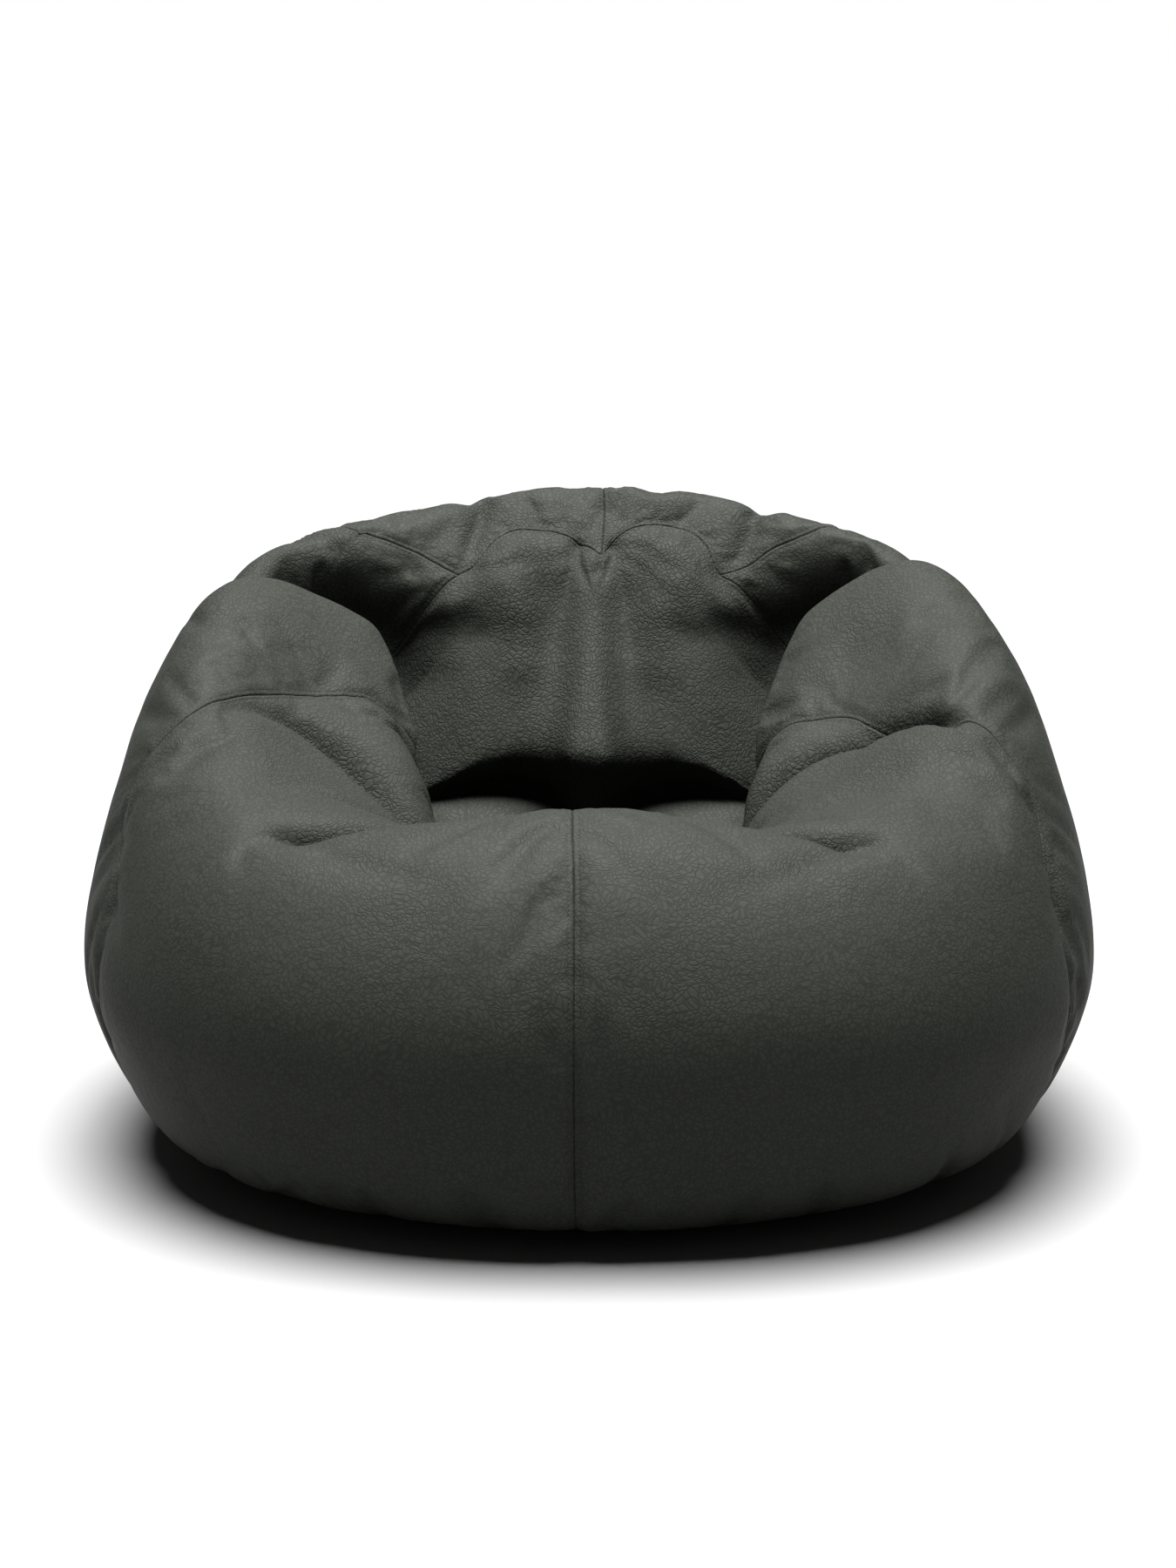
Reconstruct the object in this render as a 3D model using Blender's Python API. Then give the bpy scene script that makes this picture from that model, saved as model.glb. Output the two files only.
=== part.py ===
"""Bean bag armchair: a six-gored cover over a zipped liner full of beads.

Metres, +Z up. The front of the chair faces -Y, +X is on the right as seen from
the front, and the origin is on the floor under the middle of the chair.
Run it with: blender --background --python part.py
"""
import math

import bmesh
import bpy
import numpy as np
from mathutils import Matrix, Vector

# ---------------------------------------------------------------- overall size
WIDTH = 1.000
DEPTH = 0.928
HEIGHT = 0.615

# ------------------------------------------------------------ layers and seams
COVER_THICKNESS = 0.0013
LINER_THICKNESS = 0.0008
LAYER_GAP = 0.0006
SEAM_GAP = 0.0003

# --------------------------------------------- rear arc, which both zips follow
BACK_RADIUS = 0.350
BACK_ARC_HEIGHT_SHARE = 0.439
STEEPEST_FLOOR_SINE = 0.95
ZIP_LOW_END = 0.045
ZIP_LENGTH = 0.397
ZIP_ROWS = 10
ZIP_END_MARGIN = 0.006
ZIP_END_TAPER = 0.1
ZIP_ROW_MARGIN = 0.01
LARGEST_ARC_STEP = 0.055

# ------------------------------------------------------------- zip proportions
TAPE_CLEARANCE = 0.0014
RUN_GAP = 0.0005
COVER_ZIP = {
    "coil_width": 0.0032,
    "coil_thickness": 0.0022,
    "tape_width": 0.0115,
    "tape_thickness": 0.0006,
    "slider_length": 0.0150,
    "slider_wall": 0.0014,
    "flange_width": 0.0016,
    "post_width": 0.0021,
    "post_length": 0.0032,
    "post_setback": 0.00075,
    "stop_length": 0.0030,
}
LINER_ZIP = {
    "coil_width": 0.0020,
    "coil_thickness": 0.0014,
    "tape_width": 0.0080,
    "tape_thickness": 0.0005,
    "slider_length": 0.0100,
    "slider_wall": 0.0009,
    "flange_width": 0.0012,
    "post_width": 0.0013,
    "post_length": 0.0022,
    "post_setback": 0.00055,
    "stop_length": 0.0022,
}
OPENING_CLEARANCE = 0.0010

# ------------------------------------------------------------ pull tab, bridge
BRIDGE_WIDTH = 0.0020
BRIDGE_BAR = 0.0010
BRIDGE_RISE = 0.0016
BRIDGE_LEG = 0.0014
BRIDGE_INSET = 0.0004
TAB_BAR_RADIUS = 0.00045
TAB_WIDTH = 0.0072
TAB_LENGTH = 0.0300
TAB_THICKNESS = 0.0009
TAB_SIDE_GAP = 0.0009
TAB_SIDE_INSET = 0.0002
TAB_BAR_SIDES = 12
TAB_SIDE_REACH = 0.5

# ------------------------------------------------------------------ care label
LABEL_WIDTH = 0.030
LABEL_LENGTH = 0.045
LABEL_THICKNESS = 0.0006
LABEL_AZIMUTH = 150.0
LABEL_LEVEL = 3.1
LABEL_STAND_OFF = 0.0016

# ------------------------------------------------- form of the chair, by levels
# The form is a stack of rounded rings, from the middle of the floor patch, out
# and up the sides, over the crest, and down the inside to the middle of the seat.
# Each level gives its half width, front reach and back reach as shares of half
# the width and half the depth, and its height as a share of the height at 0, 30,
# 60, 90, 120, 150 and 180 degrees round from the front.
RING_POWER = 2.3
LEVELS = (
    (0.00, 0.00, 0.00, (0.0, 0.0, 0.0, 0.0, 0.0, 0.0, 0.0)),
    (0.72, 0.69, 0.73, (0.0, 0.0, 0.0, 0.0, 0.0, 0.0, 0.0)),
    (0.885, 0.90, 0.82, (0.072, 0.076, 0.085, 0.090, 0.085, 0.078, 0.073)),
    (0.984, 0.978, 0.95, (0.244, 0.244, 0.244, 0.244, 0.250, 0.257, 0.260)),
    (1.000, 0.996, 1.00, (0.360, 0.360, 0.360, 0.380, 0.410, 0.445, 0.470)),
    (0.950, 0.930, 0.93, (0.480, 0.475, 0.510, 0.565, 0.630, 0.668, 0.680)),
    (0.865, 0.790, 0.83, (0.595, 0.580, 0.630, 0.735, 0.820, 0.860, 0.870)),
    (0.750, 0.640, 0.70, (0.640, 0.615, 0.660, 0.810, 0.915, 0.972, 1.003)),
    (0.550, 0.506, 0.64, (0.626, 0.590, 0.600, 0.690, 0.800, 0.915, 0.960)),
    (0.350, 0.388, 0.58, (0.577, 0.540, 0.530, 0.610, 0.690, 0.845, 0.900)),
    (0.240, 0.259, 0.45, (0.488, 0.470, 0.460, 0.500, 0.585, 0.690, 0.740)),
    (0.130, 0.129, 0.26, (0.430, 0.420, 0.415, 0.430, 0.463, 0.530, 0.553)),
    (0.000, 0.000, 0.00, (0.410, 0.410, 0.410, 0.410, 0.410, 0.410, 0.410)),
)
FLOOR_LEVEL = 1.0
ZIP_LOW_LEVEL = 2.0
ZIP_HIGH_LEVEL = 5.0
CAP_LEVEL = 9.0
SEAT_LEVEL = 12.0
SEAT_SETBACK = 0.030
PATCH_LEVEL = 0.5
NORMAL_TURN = 2.0
NORMAL_STEP = 0.04
POLE_MARGIN = 0.05
SHARP_ANGLE = 35.0
CREST_STEPS = [5.6, 6.2, 6.8, 7.4, 8.0, 8.5]
CAP_STEPS = [9.6, 10.2, 10.8, 11.4]

# The crease where each arm meets the backrest: its azimuth at a few levels.
CREASE_LEVELS = (6.5, 7.6, 8.3, 9.0, 10.0)
CREASE_AZIMUTHS = (119.0, 125.0, 123.0, 112.0, 98.0)
CREASE_SPREAD = 14.0
CREASE_LEVEL = 8.4
CREASE_REACH = 1.3
CREASE_PUSH = 0.026
CREASE_DROP = 0.014

# ------------------------------------------------------------------ panel seams
# The seams keep to these azimuths on the floor patch. The arm seam runs further
# forward on the outside and further back on the inside, and the rear seam leans
# back a little on the inside.
FRONT_SEAM = 0.0
ARM_SEAM = 88.0
REAR_SEAM = 138.0
BACK_SEAM = 180.0
SEAM_LEVELS = (1.0, 2.0, 5.5, 7.0, 8.0, 9.0, 12.0)
ARM_SEAM_AZIMUTHS = (72.0, 70.0, 70.0, 77.0, 93.0, 102.0, 88.0)
REAR_SEAM_AZIMUTHS = (138.0, 138.0, 138.0, 138.0, 142.0, 143.0, 138.0)
FRONT_STEPS = 8
ARM_STEPS = 6
REAR_STEPS = 4
CHANNEL_HALF = 0.013
CHANNEL_SHOULDER = 0.026
COLUMN_MARGIN = 0.01

# ---------------------------------------------------------------------- finishes
FINISHES = {
    "faux_leather": ((0.088, 0.090, 0.083), 0.48, 0.0),
    "liner_cloth": ((0.620, 0.610, 0.580), 0.85, 0.0),
    "bead_white": ((0.800, 0.800, 0.790), 0.70, 0.0),
    "zip_nylon": ((0.030, 0.031, 0.029), 0.45, 0.0),
    "zip_tape": ((0.035, 0.036, 0.033), 0.80, 0.0),
    "zip_metal": ((0.110, 0.112, 0.108), 0.35, 1.0),
    "label_cloth": ((0.650, 0.645, 0.630), 0.80, 0.0),
}

# ------------------------------------------------------------ sizes worked out
ARC_HEIGHT = HEIGHT * BACK_ARC_HEIGHT_SHARE
ARC_Y = DEPTH / 2 - BACK_RADIUS
FLOOR_ANGLE = -math.asin(min(ARC_HEIGHT / BACK_RADIUS, STEEPEST_FLOOR_SINE))
ZIP_LOW_ANGLE = math.asin((ZIP_LOW_END - ARC_HEIGHT) / BACK_RADIUS)
ZIP_HIGH_ANGLE = ZIP_LOW_ANGLE + ZIP_LENGTH / BACK_RADIUS
ARC_CENTRE = Vector((0.0, ARC_Y, ARC_HEIGHT))


def zip_half_width(size):
    """Half the width of a zip's slider."""
    return size["coil_width"] + SEAM_GAP + RUN_GAP + size["flange_width"]


def zip_half_height(size):
    """Half the height of a zip's slider between its outer faces."""
    return size["coil_thickness"] / 2 + RUN_GAP + size["slider_wall"]


OPENING_HALF = zip_half_width(COVER_ZIP) + OPENING_CLEARANCE
SLOT_HALF = zip_half_width(LINER_ZIP) + OPENING_CLEARANCE
COVER_ZIP_RADIUS = BACK_RADIUS - COVER_THICKNESS - TAPE_CLEARANCE - COVER_ZIP["tape_thickness"] / 2
LINER_DEPTH = COVER_THICKNESS + LAYER_GAP
LINER_CHANNEL = BACK_RADIUS - COVER_ZIP_RADIUS + zip_half_height(COVER_ZIP) + TAPE_CLEARANCE
LINER_ZIP_RADIUS = (BACK_RADIUS - LINER_CHANNEL - LINER_THICKNESS - TAPE_CLEARANCE
                    - LINER_ZIP["tape_thickness"] / 2)
FILL_DEPTH = LINER_DEPTH + LINER_THICKNESS + LAYER_GAP
FILL_CHANNEL = BACK_RADIUS - LINER_ZIP_RADIUS + zip_half_height(LINER_ZIP) + TAPE_CLEARANCE


# --------------------------------------------------------------- master surface
def catmull(before, start, end, after, share):
    """Smooth value between start and end."""
    slope_in = (end - before) / 2
    slope_out = (after - start) / 2
    cubic = 2 * start - 2 * end + slope_in + slope_out
    square = 3 * end - 3 * start - 2 * slope_in - slope_out
    return ((cubic * share + square) * share + slope_in) * share + start


def smooth_list(values, position):
    """Value at a position along an evenly spaced list, with mirrored ends."""
    last = len(values) - 1
    index = min(int(position), last - 1)
    before = values[abs(index - 1)]
    after = values[index + 2] if index + 2 <= last else values[2 * last - index - 2]
    return catmull(before, values[index], values[index + 1], after, position - index)


def arc_angle(level):
    """Angle on the rear arc at a level between the floor and the zip's top."""
    if level < ZIP_LOW_LEVEL:
        share = (level - FLOOR_LEVEL) / (ZIP_LOW_LEVEL - FLOOR_LEVEL)
        return FLOOR_ANGLE + share * (ZIP_LOW_ANGLE - FLOOR_ANGLE)
    share = (level - ZIP_LOW_LEVEL) / (ZIP_HIGH_LEVEL - ZIP_LOW_LEVEL)
    return ZIP_LOW_ANGLE + share * (ZIP_HIGH_ANGLE - ZIP_LOW_ANGLE)


def back_point(level):
    """Reach and height of the rear centre line on its arc."""
    angle = arc_angle(level)
    reach = ARC_Y + BACK_RADIUS * math.cos(angle)
    return reach, max(ARC_HEIGHT + BACK_RADIUS * math.sin(angle), 0.0)


def level_rows():
    """The levels in metres, with the rear centre line put on its arc."""
    rows = []
    for index, (half, front, back, heights) in enumerate(LEVELS):
        row = [half * WIDTH / 2, front * DEPTH / 2, back * DEPTH / 2]
        row += [height * HEIGHT for height in heights]
        if FLOOR_LEVEL <= index <= ZIP_HIGH_LEVEL:
            row[2], row[-1] = back_point(index)
        rows.append(np.array(row))
    return rows


ROWS = level_rows()


def ring(level):
    """Half width, reaches and heights of the form at any level."""
    last = len(ROWS) - 1
    index = min(int(level), last - 1)
    before = ROWS[index - 1] if index > FLOOR_LEVEL else 2 * ROWS[index] - ROWS[index + 1]
    after = ROWS[min(index + 2, last)]
    values = catmull(before, ROWS[index], ROWS[index + 1], after, level - index)
    if level <= FLOOR_LEVEL:
        values = ROWS[1] * level
    elif level <= ZIP_HIGH_LEVEL:
        values[2], values[-1] = back_point(level)
    return values


def crease(azimuth, level):
    """How strongly the arm crease acts, from 0 to 1."""
    middle = float(np.interp(level, CREASE_LEVELS, CREASE_AZIMUTHS))
    across = (azimuth - middle) / CREASE_SPREAD
    along = (level - CREASE_LEVEL) / CREASE_REACH
    return math.exp(-across * across) * math.exp(-along * along)


def seam_warp(azimuth, level):
    """Moves a panel column's azimuth so that the seams follow their paths."""
    turn = azimuth % 360.0
    side = min(turn, 360.0 - turn)
    nominal = (FRONT_SEAM, ARM_SEAM, REAR_SEAM, BACK_SEAM)
    arm = float(np.interp(level, SEAM_LEVELS, ARM_SEAM_AZIMUTHS))
    rear = float(np.interp(level, SEAM_LEVELS, REAR_SEAM_AZIMUTHS))
    moved = float(np.interp(side, nominal, (FRONT_SEAM, arm, rear, BACK_SEAM)))
    return moved if turn <= BACK_SEAM else 360.0 - moved


def surface(azimuth, level):
    """A point of the outer surface; azimuth runs from the front round +X."""
    turn = seam_warp(azimuth, level)
    side = min(turn, 360.0 - turn)
    values = ring(level)
    sine = math.sin(math.radians(turn))
    cosine = math.cos(math.radians(turn))
    size = (abs(sine) ** RING_POWER + abs(cosine) ** RING_POWER) ** (-1 / RING_POWER)
    reach = values[1] if cosine > 0 else values[2]
    x = values[0] * sine * size
    y = -reach * cosine * size
    z = smooth_list(values[3:], side / 30.0)
    pull = crease(side, level)
    x += pull * CREASE_PUSH * sine
    y -= pull * CREASE_PUSH * cosine
    z -= pull * CREASE_DROP
    toward_seat = max(level - CAP_LEVEL, 0.0) / (SEAT_LEVEL - CAP_LEVEL)
    y += SEAT_SETBACK * toward_seat
    return Vector((x, y, max(z, 0.0)))


def outward(azimuth, level):
    """Outward unit normal of the surface."""
    if level < FLOOR_LEVEL - POLE_MARGIN:
        return Vector((0.0, 0.0, -1.0))
    if level > SEAT_LEVEL - POLE_MARGIN:
        return Vector((0.0, 0.0, 1.0))
    across = surface(azimuth + NORMAL_TURN, level) - surface(azimuth - NORMAL_TURN, level)
    along = surface(azimuth, level + NORMAL_STEP) - surface(azimuth, level - NORMAL_STEP)
    return across.cross(along).normalized()


def near_back(offset):
    """Azimuth of a line that runs at a given distance beside the back seam."""
    middle_level = (ZIP_LOW_LEVEL + ZIP_HIGH_LEVEL) / 2
    rear = float(np.interp(middle_level, SEAM_LEVELS, REAR_SEAM_AZIMUTHS))
    stretch = (BACK_SEAM - REAR_SEAM) / (BACK_SEAM - rear)
    return BACK_SEAM - math.degrees(math.asin(offset / (WIDTH / 2))) * stretch


def spread(start, end, steps):
    """Evenly spaced values from start up to, but without, end."""
    return [start + (end - start) * step / steps for step in range(steps)]


def half_columns():
    """Azimuths from the front seam to the shoulder of the zip channel."""
    columns = spread(FRONT_SEAM, ARM_SEAM, FRONT_STEPS)
    columns += spread(ARM_SEAM, REAR_SEAM, ARM_STEPS)
    columns += spread(REAR_SEAM, BACK_SEAM, REAR_STEPS)
    return columns + [near_back(CHANNEL_SHOULDER), near_back(CHANNEL_HALF)]


def gore_levels():
    """Levels of the rows that a gore has, from the floor patch to the cap."""
    levels = [FLOOR_LEVEL, (FLOOR_LEVEL + ZIP_LOW_LEVEL) / 2, ZIP_LOW_LEVEL - ZIP_END_TAPER]
    levels += spread(ZIP_LOW_LEVEL, ZIP_HIGH_LEVEL, ZIP_ROWS)
    levels += [ZIP_HIGH_LEVEL, ZIP_HIGH_LEVEL + ZIP_END_TAPER]
    return levels + CREST_STEPS + [CAP_LEVEL]


def in_zip(level):
    """Whether a row lies along the zips."""
    return ZIP_LOW_LEVEL - ZIP_ROW_MARGIN <= level <= ZIP_HIGH_LEVEL + ZIP_ROW_MARGIN


def grid(azimuths, levels):
    """Points and outward normals over a grid of the surface."""
    points = np.array([[surface(a, v) for a in azimuths] for v in levels])
    normals = np.array([[outward(a, v) for a in azimuths] for v in levels])
    return points, normals


# --------------------------------------------------------------- making meshes
def finish(name):
    """A Principled material from the table of finishes."""
    material = bpy.data.materials.get(name)
    if material is None:
        colour, roughness, metallic = FINISHES[name]
        material = bpy.data.materials.new(name)
        material.use_nodes = True
        shader = material.node_tree.nodes["Principled BSDF"]
        shader.inputs["Base Color"].default_value = (*colour, 1.0)
        shader.inputs["Roughness"].default_value = roughness
        shader.inputs["Metallic"].default_value = metallic
    return material


def add_node(name, vertices, faces, finish_name, origin=(0.0, 0.0, 0.0), smooth=True):
    """One object whose mesh is given in world metres and whose origin is set."""
    origin = Vector(origin)
    mesh = bpy.data.meshes.new(name)
    mesh.from_pydata([Vector(vertex) - origin for vertex in vertices], [], faces)
    mesh.update()
    mesh.materials.append(finish(finish_name))
    if smooth:
        mesh.shade_smooth()
        mesh.set_sharp_from_angle(angle=math.radians(SHARP_ANGLE))
    node = bpy.data.objects.new(name, mesh)
    node.location = origin
    bpy.context.scene.collection.objects.link(node)
    return node


def split_quad(corners, first_diagonal, flip):
    """Two triangles from a quad, split along its first or second diagonal."""
    a, b, c, d = corners
    halves = [[a, b, c], [a, c, d]] if first_diagonal else [[a, b, d], [b, c, d]]
    return [half[::-1] for half in halves] if flip else halves


def skin(azimuths, rows, offset, flip, closed=False, skip=None):
    """Triangles over a grid, mirrored left to right so that layers nest."""
    faces = []
    columns = len(azimuths)
    for row in range(rows - 1):
        for column in range(columns if closed else columns - 1):
            if skip and skip(row, column):
                continue
            beside = (column + 1) % columns
            base = offset + row * columns
            corners = (base + column, base + beside,
                       base + columns + beside, base + columns + column)
            faces += split_quad(corners, azimuths[column] < BACK_SEAM, flip)
    return faces


def edge_walls(rim, count, closed_end=None):
    """Walls between the outer and inner layers, along a rim of outer vertices."""
    faces = []
    for here, there in zip(rim, rim[1:] + rim[:1]):
        corners = (there, here, here + count, there + count)
        wraps = closed_end is not None and abs(here - there) == closed_end
        rising = (here < there) != wraps
        faces += split_quad(corners, not rising, False)
    return faces


def inset(points, side, distance):
    """Draw one edge of a grid in along the surface; distance may vary along it."""
    edges = {"first_row": (0, 1), "last_row": (-1, -2)}
    if side in edges:
        edge, inner = edges[side]
        step = points[inner] - points[edge]
    else:
        edge, inner = (0, 1) if side == "first_column" else (-1, -2)
        step = points[:, inner] - points[:, edge]
    unit = step / np.linalg.norm(step, axis=1, keepdims=True)
    shift = unit * np.reshape(distance, (-1, 1))
    if side in edges:
        points[edge] += shift
    else:
        points[:, edge] += shift


def panel(name, azimuths, levels, first_gap, last_gap):
    """A gore: a strip of the surface with thickness, closed round its edges."""
    points, normals = grid(azimuths, levels)
    inset(points, "first_column", first_gap)
    inset(points, "last_column", last_gap)
    inset(points, "first_row", SEAM_GAP / 2)
    inset(points, "last_row", SEAM_GAP / 2)
    inner = points - normals * COVER_THICKNESS
    rows, columns = points.shape[:2]
    count = rows * columns
    vertices = np.vstack([points.reshape(-1, 3), inner.reshape(-1, 3)])
    faces = skin(azimuths, rows, 0, False) + skin(azimuths, rows, count, True)
    rim = list(range(columns))
    rim += [row * columns + columns - 1 for row in range(1, rows)]
    rim += [(rows - 1) * columns + column for column in range(columns - 2, -1, -1)]
    rim += [row * columns for row in range(rows - 2, 0, -1)]
    faces += edge_walls(rim, count)
    return add_node(name, vertices, faces, "faux_leather")


def round_panel(name, azimuths, levels, centre_level):
    """A round panel that closes at its centre: the floor patch or the seat cap."""
    points, normals = grid(azimuths, levels)
    inset(points, "last_row" if centre_level < levels[0] else "first_row", SEAM_GAP / 2)
    centre = np.array(surface(0.0, centre_level))
    up = np.array(outward(0.0, centre_level))
    rows, columns = points.shape[:2]
    count = rows * columns
    inner = points - normals * COVER_THICKNESS
    vertices = np.vstack([points.reshape(-1, 3), inner.reshape(-1, 3),
                          centre, centre - up * COVER_THICKNESS])
    faces = skin(azimuths, rows, 0, False, closed=True)
    faces += skin(azimuths, rows, count, True, closed=True)
    low_centre = centre_level < levels[0]
    ring_start = 0 if low_centre else (rows - 1) * columns
    for column in range(columns):
        pair = (ring_start + column, ring_start + (column + 1) % columns)
        fan = [[pair[1], pair[0], 2 * count],
               [pair[0] + count, pair[1] + count, 2 * count + 1]]
        faces += fan if low_centre else [face[::-1] for face in fan]
    rim_start = (rows - 1) * columns if low_centre else 0
    rim = list(range(rim_start, rim_start + columns))
    if low_centre:
        rim = rim[::-1]
    faces += edge_walls(rim, count, closed_end=columns - 1)
    return add_node(name, vertices, faces, "faux_leather")


def bag_points(azimuths, levels, depth, channel_depth):
    """Rows of a closed bag inside the surface, with a channel behind the zips."""
    points, normals = grid(azimuths, levels)
    channel = near_back(CHANNEL_HALF) - COLUMN_MARGIN
    for row, level in enumerate(levels):
        for column, azimuth in enumerate(azimuths):
            side = min(azimuth, 360.0 - azimuth)
            hollow = in_zip(level) and side >= channel
            sunk = channel_depth if hollow else depth
            points[row, column] -= normals[row, column] * sunk
            if hollow and side > near_back(SLOT_HALF) - COLUMN_MARGIN:
                points[row, column, 0] = math.copysign(SLOT_HALF, points[row, column, 0])
    return points


def bag_poles(depth):
    """The middle points of a closed bag, at the floor and at the seat."""
    low = np.array(surface(0.0, 0.0)) + np.array((0.0, 0.0, depth))
    high = np.array(surface(0.0, SEAT_LEVEL)) - np.array((0.0, 0.0, depth))
    return low, high


def pole_faces(rows, columns, offset, low, high, flip):
    """Fans that close a bag at its two poles."""
    faces = []
    top = offset + (rows - 1) * columns
    for column in range(columns):
        beside = (column + 1) % columns
        pair = [[offset + beside, offset + column, low], [top + column, top + beside, high]]
        faces += [face[::-1] for face in pair] if flip else pair
    return faces


# ------------------------------------------------------------------ soft pieces
def make_cover(half, levels):
    """Six gores, the floor patch and the seat cap."""
    arm = half.index(ARM_SEAM)
    rear = half.index(REAR_SEAM)
    spans = {
        "front": half[:arm + 1],
        "arm": half[arm:rear + 1],
        "back": half[rear:] + [BACK_SEAM],
    }
    seam = SEAM_GAP / 2
    opening = [OPENING_HALF if in_zip(level) else seam for level in levels]
    for label, columns in spans.items():
        far_gap = opening if label == "back" else seam
        panel(f"{label}_panel_right", columns, levels, seam, far_gap)
        mirrored = [360.0 - azimuth for azimuth in columns[::-1]]
        panel(f"{label}_panel_left", mirrored, levels, far_gap, seam)
    closed = closed_columns(half) + [BACK_SEAM]
    closed.sort()
    round_panel("base_panel", closed, [PATCH_LEVEL, FLOOR_LEVEL], 0.0)
    round_panel("seat_cap", closed, [CAP_LEVEL] + CAP_STEPS, SEAT_LEVEL)


def closed_columns(half):
    """Azimuths right round, without the ones that would repeat."""
    return half + [360.0 - azimuth for azimuth in half[:0:-1]]


def bag_columns(half):
    """Azimuths right round, with a pair beside the back seam for the slot."""
    return closed_columns(half + [near_back(SLOT_HALF)])


def make_liner(half, levels):
    """The inner bag: a closed skin with one slot for its zip."""
    azimuths = bag_columns(half)
    outer = bag_points(azimuths, levels, LINER_DEPTH, LINER_CHANNEL)
    inner = bag_points(azimuths, levels, LINER_DEPTH + LINER_THICKNESS,
                       LINER_CHANNEL + LINER_THICKNESS)
    rows, columns = outer.shape[:2]
    count = rows * columns
    slot_column = len(half)
    slot_rows = [row for row, level in enumerate(levels) if in_zip(level)]

    def in_slot(row, column):
        return column == slot_column and slot_rows[0] <= row < slot_rows[-1]

    faces = skin(azimuths, rows, 0, False, closed=True, skip=in_slot)
    faces += skin(azimuths, rows, count, True, closed=True, skip=in_slot)
    faces += pole_faces(rows, columns, 0, 2 * count, 2 * count + 1, False)
    faces += pole_faces(rows, columns, count, 2 * count + 2, 2 * count + 3, True)
    rim = [row * columns + slot_column for row in slot_rows]
    rim += [row * columns + slot_column + 1 for row in slot_rows[::-1]]
    faces += edge_walls(rim, count)
    poles = bag_poles(LINER_DEPTH) + bag_poles(LINER_DEPTH + LINER_THICKNESS)
    vertices = np.vstack([outer.reshape(-1, 3), inner.reshape(-1, 3), *poles])
    add_node("inner_liner", vertices, faces, "liner_cloth")


def make_fill(half, levels):
    """The loose beads, taken as one solid heap that fills the liner."""
    azimuths = bag_columns(half)
    outer = bag_points(azimuths, levels, FILL_DEPTH, FILL_CHANNEL)
    rows, columns = outer.shape[:2]
    count = rows * columns
    faces = skin(azimuths, rows, 0, False, closed=True)
    faces += pole_faces(rows, columns, 0, count, count + 1, False)
    vertices = np.vstack([outer.reshape(-1, 3), *bag_poles(FILL_DEPTH)])
    add_node("bead_fill", vertices, faces, "bead_white")


# ------------------------------------------------------------------------- zips
def arc_frame(radius, angle):
    """Frame on the rear arc: local X across, local Y up the zip, local Z outwards."""
    across = Vector((-1.0, 0.0, 0.0))
    along = Vector((0.0, -math.sin(angle), math.cos(angle)))
    out = Vector((0.0, math.cos(angle), math.sin(angle)))
    place = ARC_CENTRE + out * radius
    frame = Matrix((across, along, out)).transposed().to_4x4()
    frame.translation = place
    return frame


def arc_strip(name, sides, heights, angles, radius, finish_name):
    """A bar of rectangular section that follows the rear arc."""
    vertices = []
    for angle in angles:
        frame = arc_frame(radius, angle)
        for x, z in ((sides[0], heights[0]), (sides[1], heights[0]),
                     (sides[1], heights[1]), (sides[0], heights[1])):
            vertices.append(frame @ Vector((x, 0.0, z)))
    faces = [[0, 1, 2, 3]]
    for step in range(len(angles) - 1):
        base = 4 * step
        for corner in range(4):
            beside = (corner + 1) % 4
            faces.append([base + corner, base + corner + 4, base + beside + 4, base + beside])
    end = 4 * (len(angles) - 1)
    faces.append([end + 3, end + 2, end + 1, end])
    node = add_node(name, vertices, faces, finish_name, smooth=False)
    face_out(node.data)
    return node


def face_out(mesh):
    """Turn a closed mesh's faces outwards."""
    cleaned = bmesh.new()
    cleaned.from_mesh(mesh)
    bmesh.ops.recalc_face_normals(cleaned, faces=cleaned.faces)
    cleaned.to_mesh(mesh)
    cleaned.free()


def angle_steps(start, end):
    """Angles from start to end, no further apart than the largest step."""
    count = max(int(math.ceil((end - start) / LARGEST_ARC_STEP)), 1)
    return [start + (end - start) * index / count for index in range(count + 1)]


def block(name, low, high, frame):
    """A plain box given by its corners in a frame."""
    mesh = bpy.data.meshes.new(name)
    shaped = bmesh.new()
    bmesh.ops.create_cube(shaped, size=1.0)
    middle = (Vector(low) + Vector(high)) / 2
    size = Vector(high) - Vector(low)
    for vertex in shaped.verts:
        vertex.co = frame @ (Vector(vertex.co[i] * size[i] for i in range(3)) + middle)
    shaped.to_mesh(mesh)
    shaped.free()
    node = bpy.data.objects.new(name, mesh)
    bpy.context.scene.collection.objects.link(node)
    return node


def join_solids(name, pieces, finish_name, origin):
    """Union of overlapping pieces as one node with its origin set."""
    body = pieces[0]
    for piece in pieces[1:]:
        union = body.modifiers.new("union", "BOOLEAN")
        union.operation = "UNION"
        union.solver = "EXACT"
        union.object = piece
    depsgraph = bpy.context.evaluated_depsgraph_get()
    mesh = bpy.data.meshes.new_from_object(body.evaluated_get(depsgraph))
    for piece in pieces:
        bpy.data.objects.remove(piece, do_unlink=True)
    vertices = [vertex.co.copy() for vertex in mesh.vertices]
    faces = [list(polygon.vertices) for polygon in mesh.polygons]
    bpy.data.meshes.remove(mesh)
    return add_node(name, vertices, faces, finish_name, origin=origin, smooth=False)


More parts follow.
